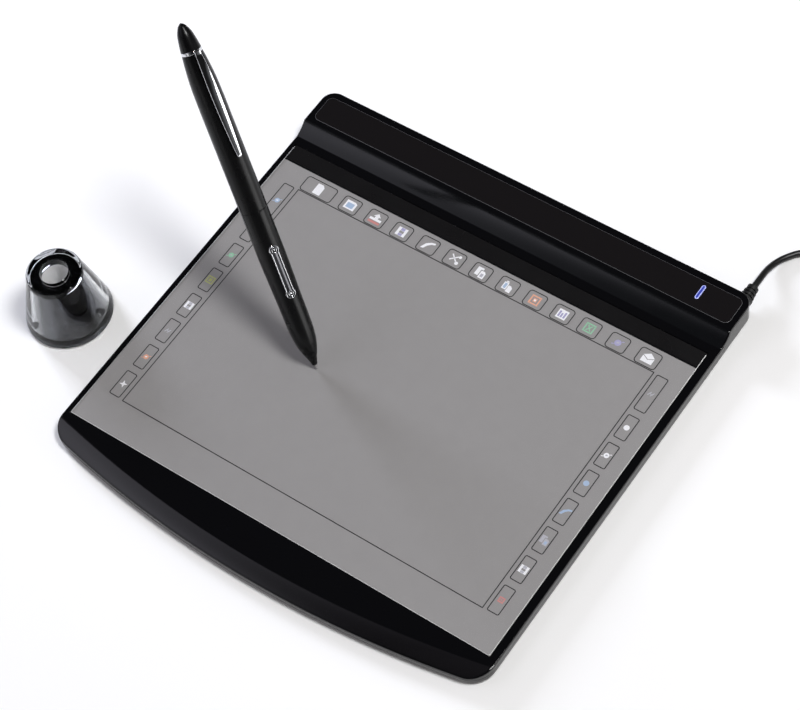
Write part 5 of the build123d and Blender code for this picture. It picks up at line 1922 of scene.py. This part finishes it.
def link_stage(name: str, finish: Finish, corners: Sequence[Triple], unseen: Sequence[str] = ()) -> None:
    """Put up one flat stage panel.

    Args:
        name: its name.
        finish: what it wears.
        corners: four places in metres.
        unseen: the kinds of ray that pass it by.
    """
    mesh = bpy.data.meshes.new(name)
    mesh.from_pydata(corners, [], [(0, 1, 2, 3)])
    mesh.materials.append(material_of(finish))
    panel = bpy.data.objects.new(name, mesh)
    for kind in unseen:
        setattr(panel, "visible_" + kind, False)
    bpy.context.scene.collection.objects.link(panel)
    panel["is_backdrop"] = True


@dataclass(frozen=True)
class SoftLamp:
    """A rectangular soft box that the camera does not see."""

    name: str
    at: Triple
    towards: Triple
    size: Pair
    power: float
    colour: str = "ffffff"
    in_gloss: bool = True

    def make(self) -> None:
        """Hang the lamp."""
        data = bpy.data.lights.new(self.name, "AREA")
        data.shape = "RECTANGLE"
        data.size, data.size_y = self.size
        data.energy = self.power
        data.color = linear(self.colour)[:3]
        lamp = bpy.data.objects.new(self.name, data)
        way = Vector(self.towards) - Vector(self.at)
        lamp.matrix_world = Matrix.Translation(self.at) @ way.to_track_quat("-Z", "Y").to_matrix().to_4x4()
        lamp.visible_camera = False
        lamp.visible_glossy = self.in_gloss
        bpy.context.scene.collection.objects.link(lamp)


@dataclass
class Studio:
    """A white sweep, a dim room and soft lamps. Sizes are in metres, the camera's in millimetres.

    The gradient panel is what the lip and the bar's slope mirror, and the low strip in front is what
    the lip's round edge mirrors as a thin line.
    """

    camera_at: Triple = (431.17, -416.23, 951.47)
    camera_rows: tuple[Triple, ...] = (
        (0.81267, 0.57106, -0.11597), (0.43575, -0.72768, -0.52971), (-0.38689, 0.37995, -0.84021),
    )
    lens: float = 113.02
    sensor: float = 36.0
    floor_size: float = 3.0
    floor: Paper = Paper("matt_white_paper_sweep", "f6f6f6", 0.02)
    room_colour: str = "fbfcff"
    fill_colour: str = "fff8f2"
    ambient: float = 0.2
    wall: float = 0.16
    zenith: float = 0.012
    horizon: Pair = (0.26, 0.42)
    panel: Quad = (-1.7, -0.18, -1.6, 0.15)
    panel_height: float = 1.0
    panel_glow: Glow = Glow("gradient_panel_glow", "eeedfa", 1.05, (-0.85, -0.2))
    strip: Quad = (-1.5, 0.2, 0.2, 0.62)
    strip_y: float = -1.7
    strip_glow: Glow = Glow("front_strip_glow", "ffffff", 0.8)
    lamps: tuple[SoftLamp, ...] = (
        SoftLamp("key", (0.62, 0.2, 1.55), (0.0, 0.0, 0.0), (0.4, 0.4), 18.0),
        SoftLamp("side_wall", (1.5, 0.46, 0.26), (-0.1, 0.0, 0.1), (1.15, 0.5), 6.5),
        SoftLamp("low_fill", (-1.6, 0.5, 0.5), (0.1, 0.0, 0.0), (0.5, 0.4), 30.0, "eef2ff", False),
    )

    def make(self) -> None:
        """Build camera, floor, room, panels and lamps, and set the view."""
        scene = bpy.context.scene
        scene.view_settings.view_transform = "Standard"
        self.make_camera(scene)
        self.make_world(scene)
        half = self.floor_size
        link_stage("studio_floor", self.floor, [(x, y, 0.0) for x, y in block(-half, half, -half, half)])
        x0, x1, y0, y1 = self.panel
        corners = [(x, y, self.panel_height) for x, y in ((x0, y0), (x0, y1), (x1, y1), (x1, y0))]
        link_stage("gradient_panel", self.panel_glow, corners, ("camera", "transmission"))
        corners = [(x, self.strip_y, z) for x, z in block(*self.strip)]
        link_stage("front_strip", self.strip_glow, corners, ("camera", "diffuse", "transmission"))
        for lamp in self.lamps:
            lamp.make()

    def make_camera(self, scene: bpy.types.Scene) -> None:
        """Set the camera's place, turn and lens from its right, down and ahead directions.

        Args:
            scene: what it belongs to.
        """
        data = bpy.data.cameras.new("camera")
        data.lens, data.sensor_width, data.sensor_fit = self.lens, self.sensor, "HORIZONTAL"
        data.clip_start, data.clip_end = 0.05, 50.0
        camera = bpy.data.objects.new("camera", data)
        right, down, ahead = (Vector(row) for row in self.camera_rows)
        turn = Matrix((right, -down, -ahead)).transposed().to_4x4()
        camera.matrix_world = Matrix.Translation(Vector(self.camera_at) * MM) @ turn
        scene.collection.objects.link(camera)
        scene.camera = camera

    def make_world(self, scene: bpy.types.Scene) -> None:
        """Make the room: white seen directly, otherwise pale at the horizon and dark overhead.

        The level falls from the horizon to the zenith as a smooth step of the direction's height.

        Args:
            scene: what it belongs to.
        """
        scene.world = bpy.data.worlds.new("studio_room")
        graph = Graph(scene.world, "Generated")
        ray = graph.add("LightPath").outputs
        height = graph.add("SeparateXYZ", links={0: graph.place}).outputs["Z"]
        level = graph.fade(height, self.horizon, (self.wall, self.zenith))
        room = graph.add("Background", {"Color": linear(self.room_colour)}, {"Strength": level})
        even = graph.add("Background", {"Color": linear(self.fill_colour), "Strength": self.ambient})
        room = graph.add("MixShader", links={0: ray["Is Diffuse Ray"], 1: room, 2: even})
        white = graph.add("Background", {"Color": linear("ffffff"), "Strength": 1.0})
        mix = graph.add("MixShader", links={0: ray["Is Camera Ray"], 1: room, 2: white})
        graph.add("OutputWorld", links={"Surface": mix})


def write_size(frame_box: Box, dressed_box: Box) -> None:
    """Args:
        frame_box: lowest and highest corner straight after loading.
        dressed_box: the same, just before the end.
    """
    found = {
        name: {"low": [round(v, 6) for v in low], "high": [round(v, 6) for v in high]}
        for name, (low, high) in (("frame", frame_box), ("dressed", dressed_box))
    }
    for name, box in found.items():
        LOG.info("%s box: %s to %s", name, box["low"], box["high"])


def main() -> None:
    """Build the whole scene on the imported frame."""
    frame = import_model()
    frame_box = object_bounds()
    for part in (Studio(), Cord(), Case(), Drawing(), Pen(), Stand()):
        part.make()
    dress_kept(frame)
    write_size(frame_box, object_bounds())


if __name__ == "__main__":
    logging.basicConfig(level=logging.INFO, format="%(message)s")
    main()
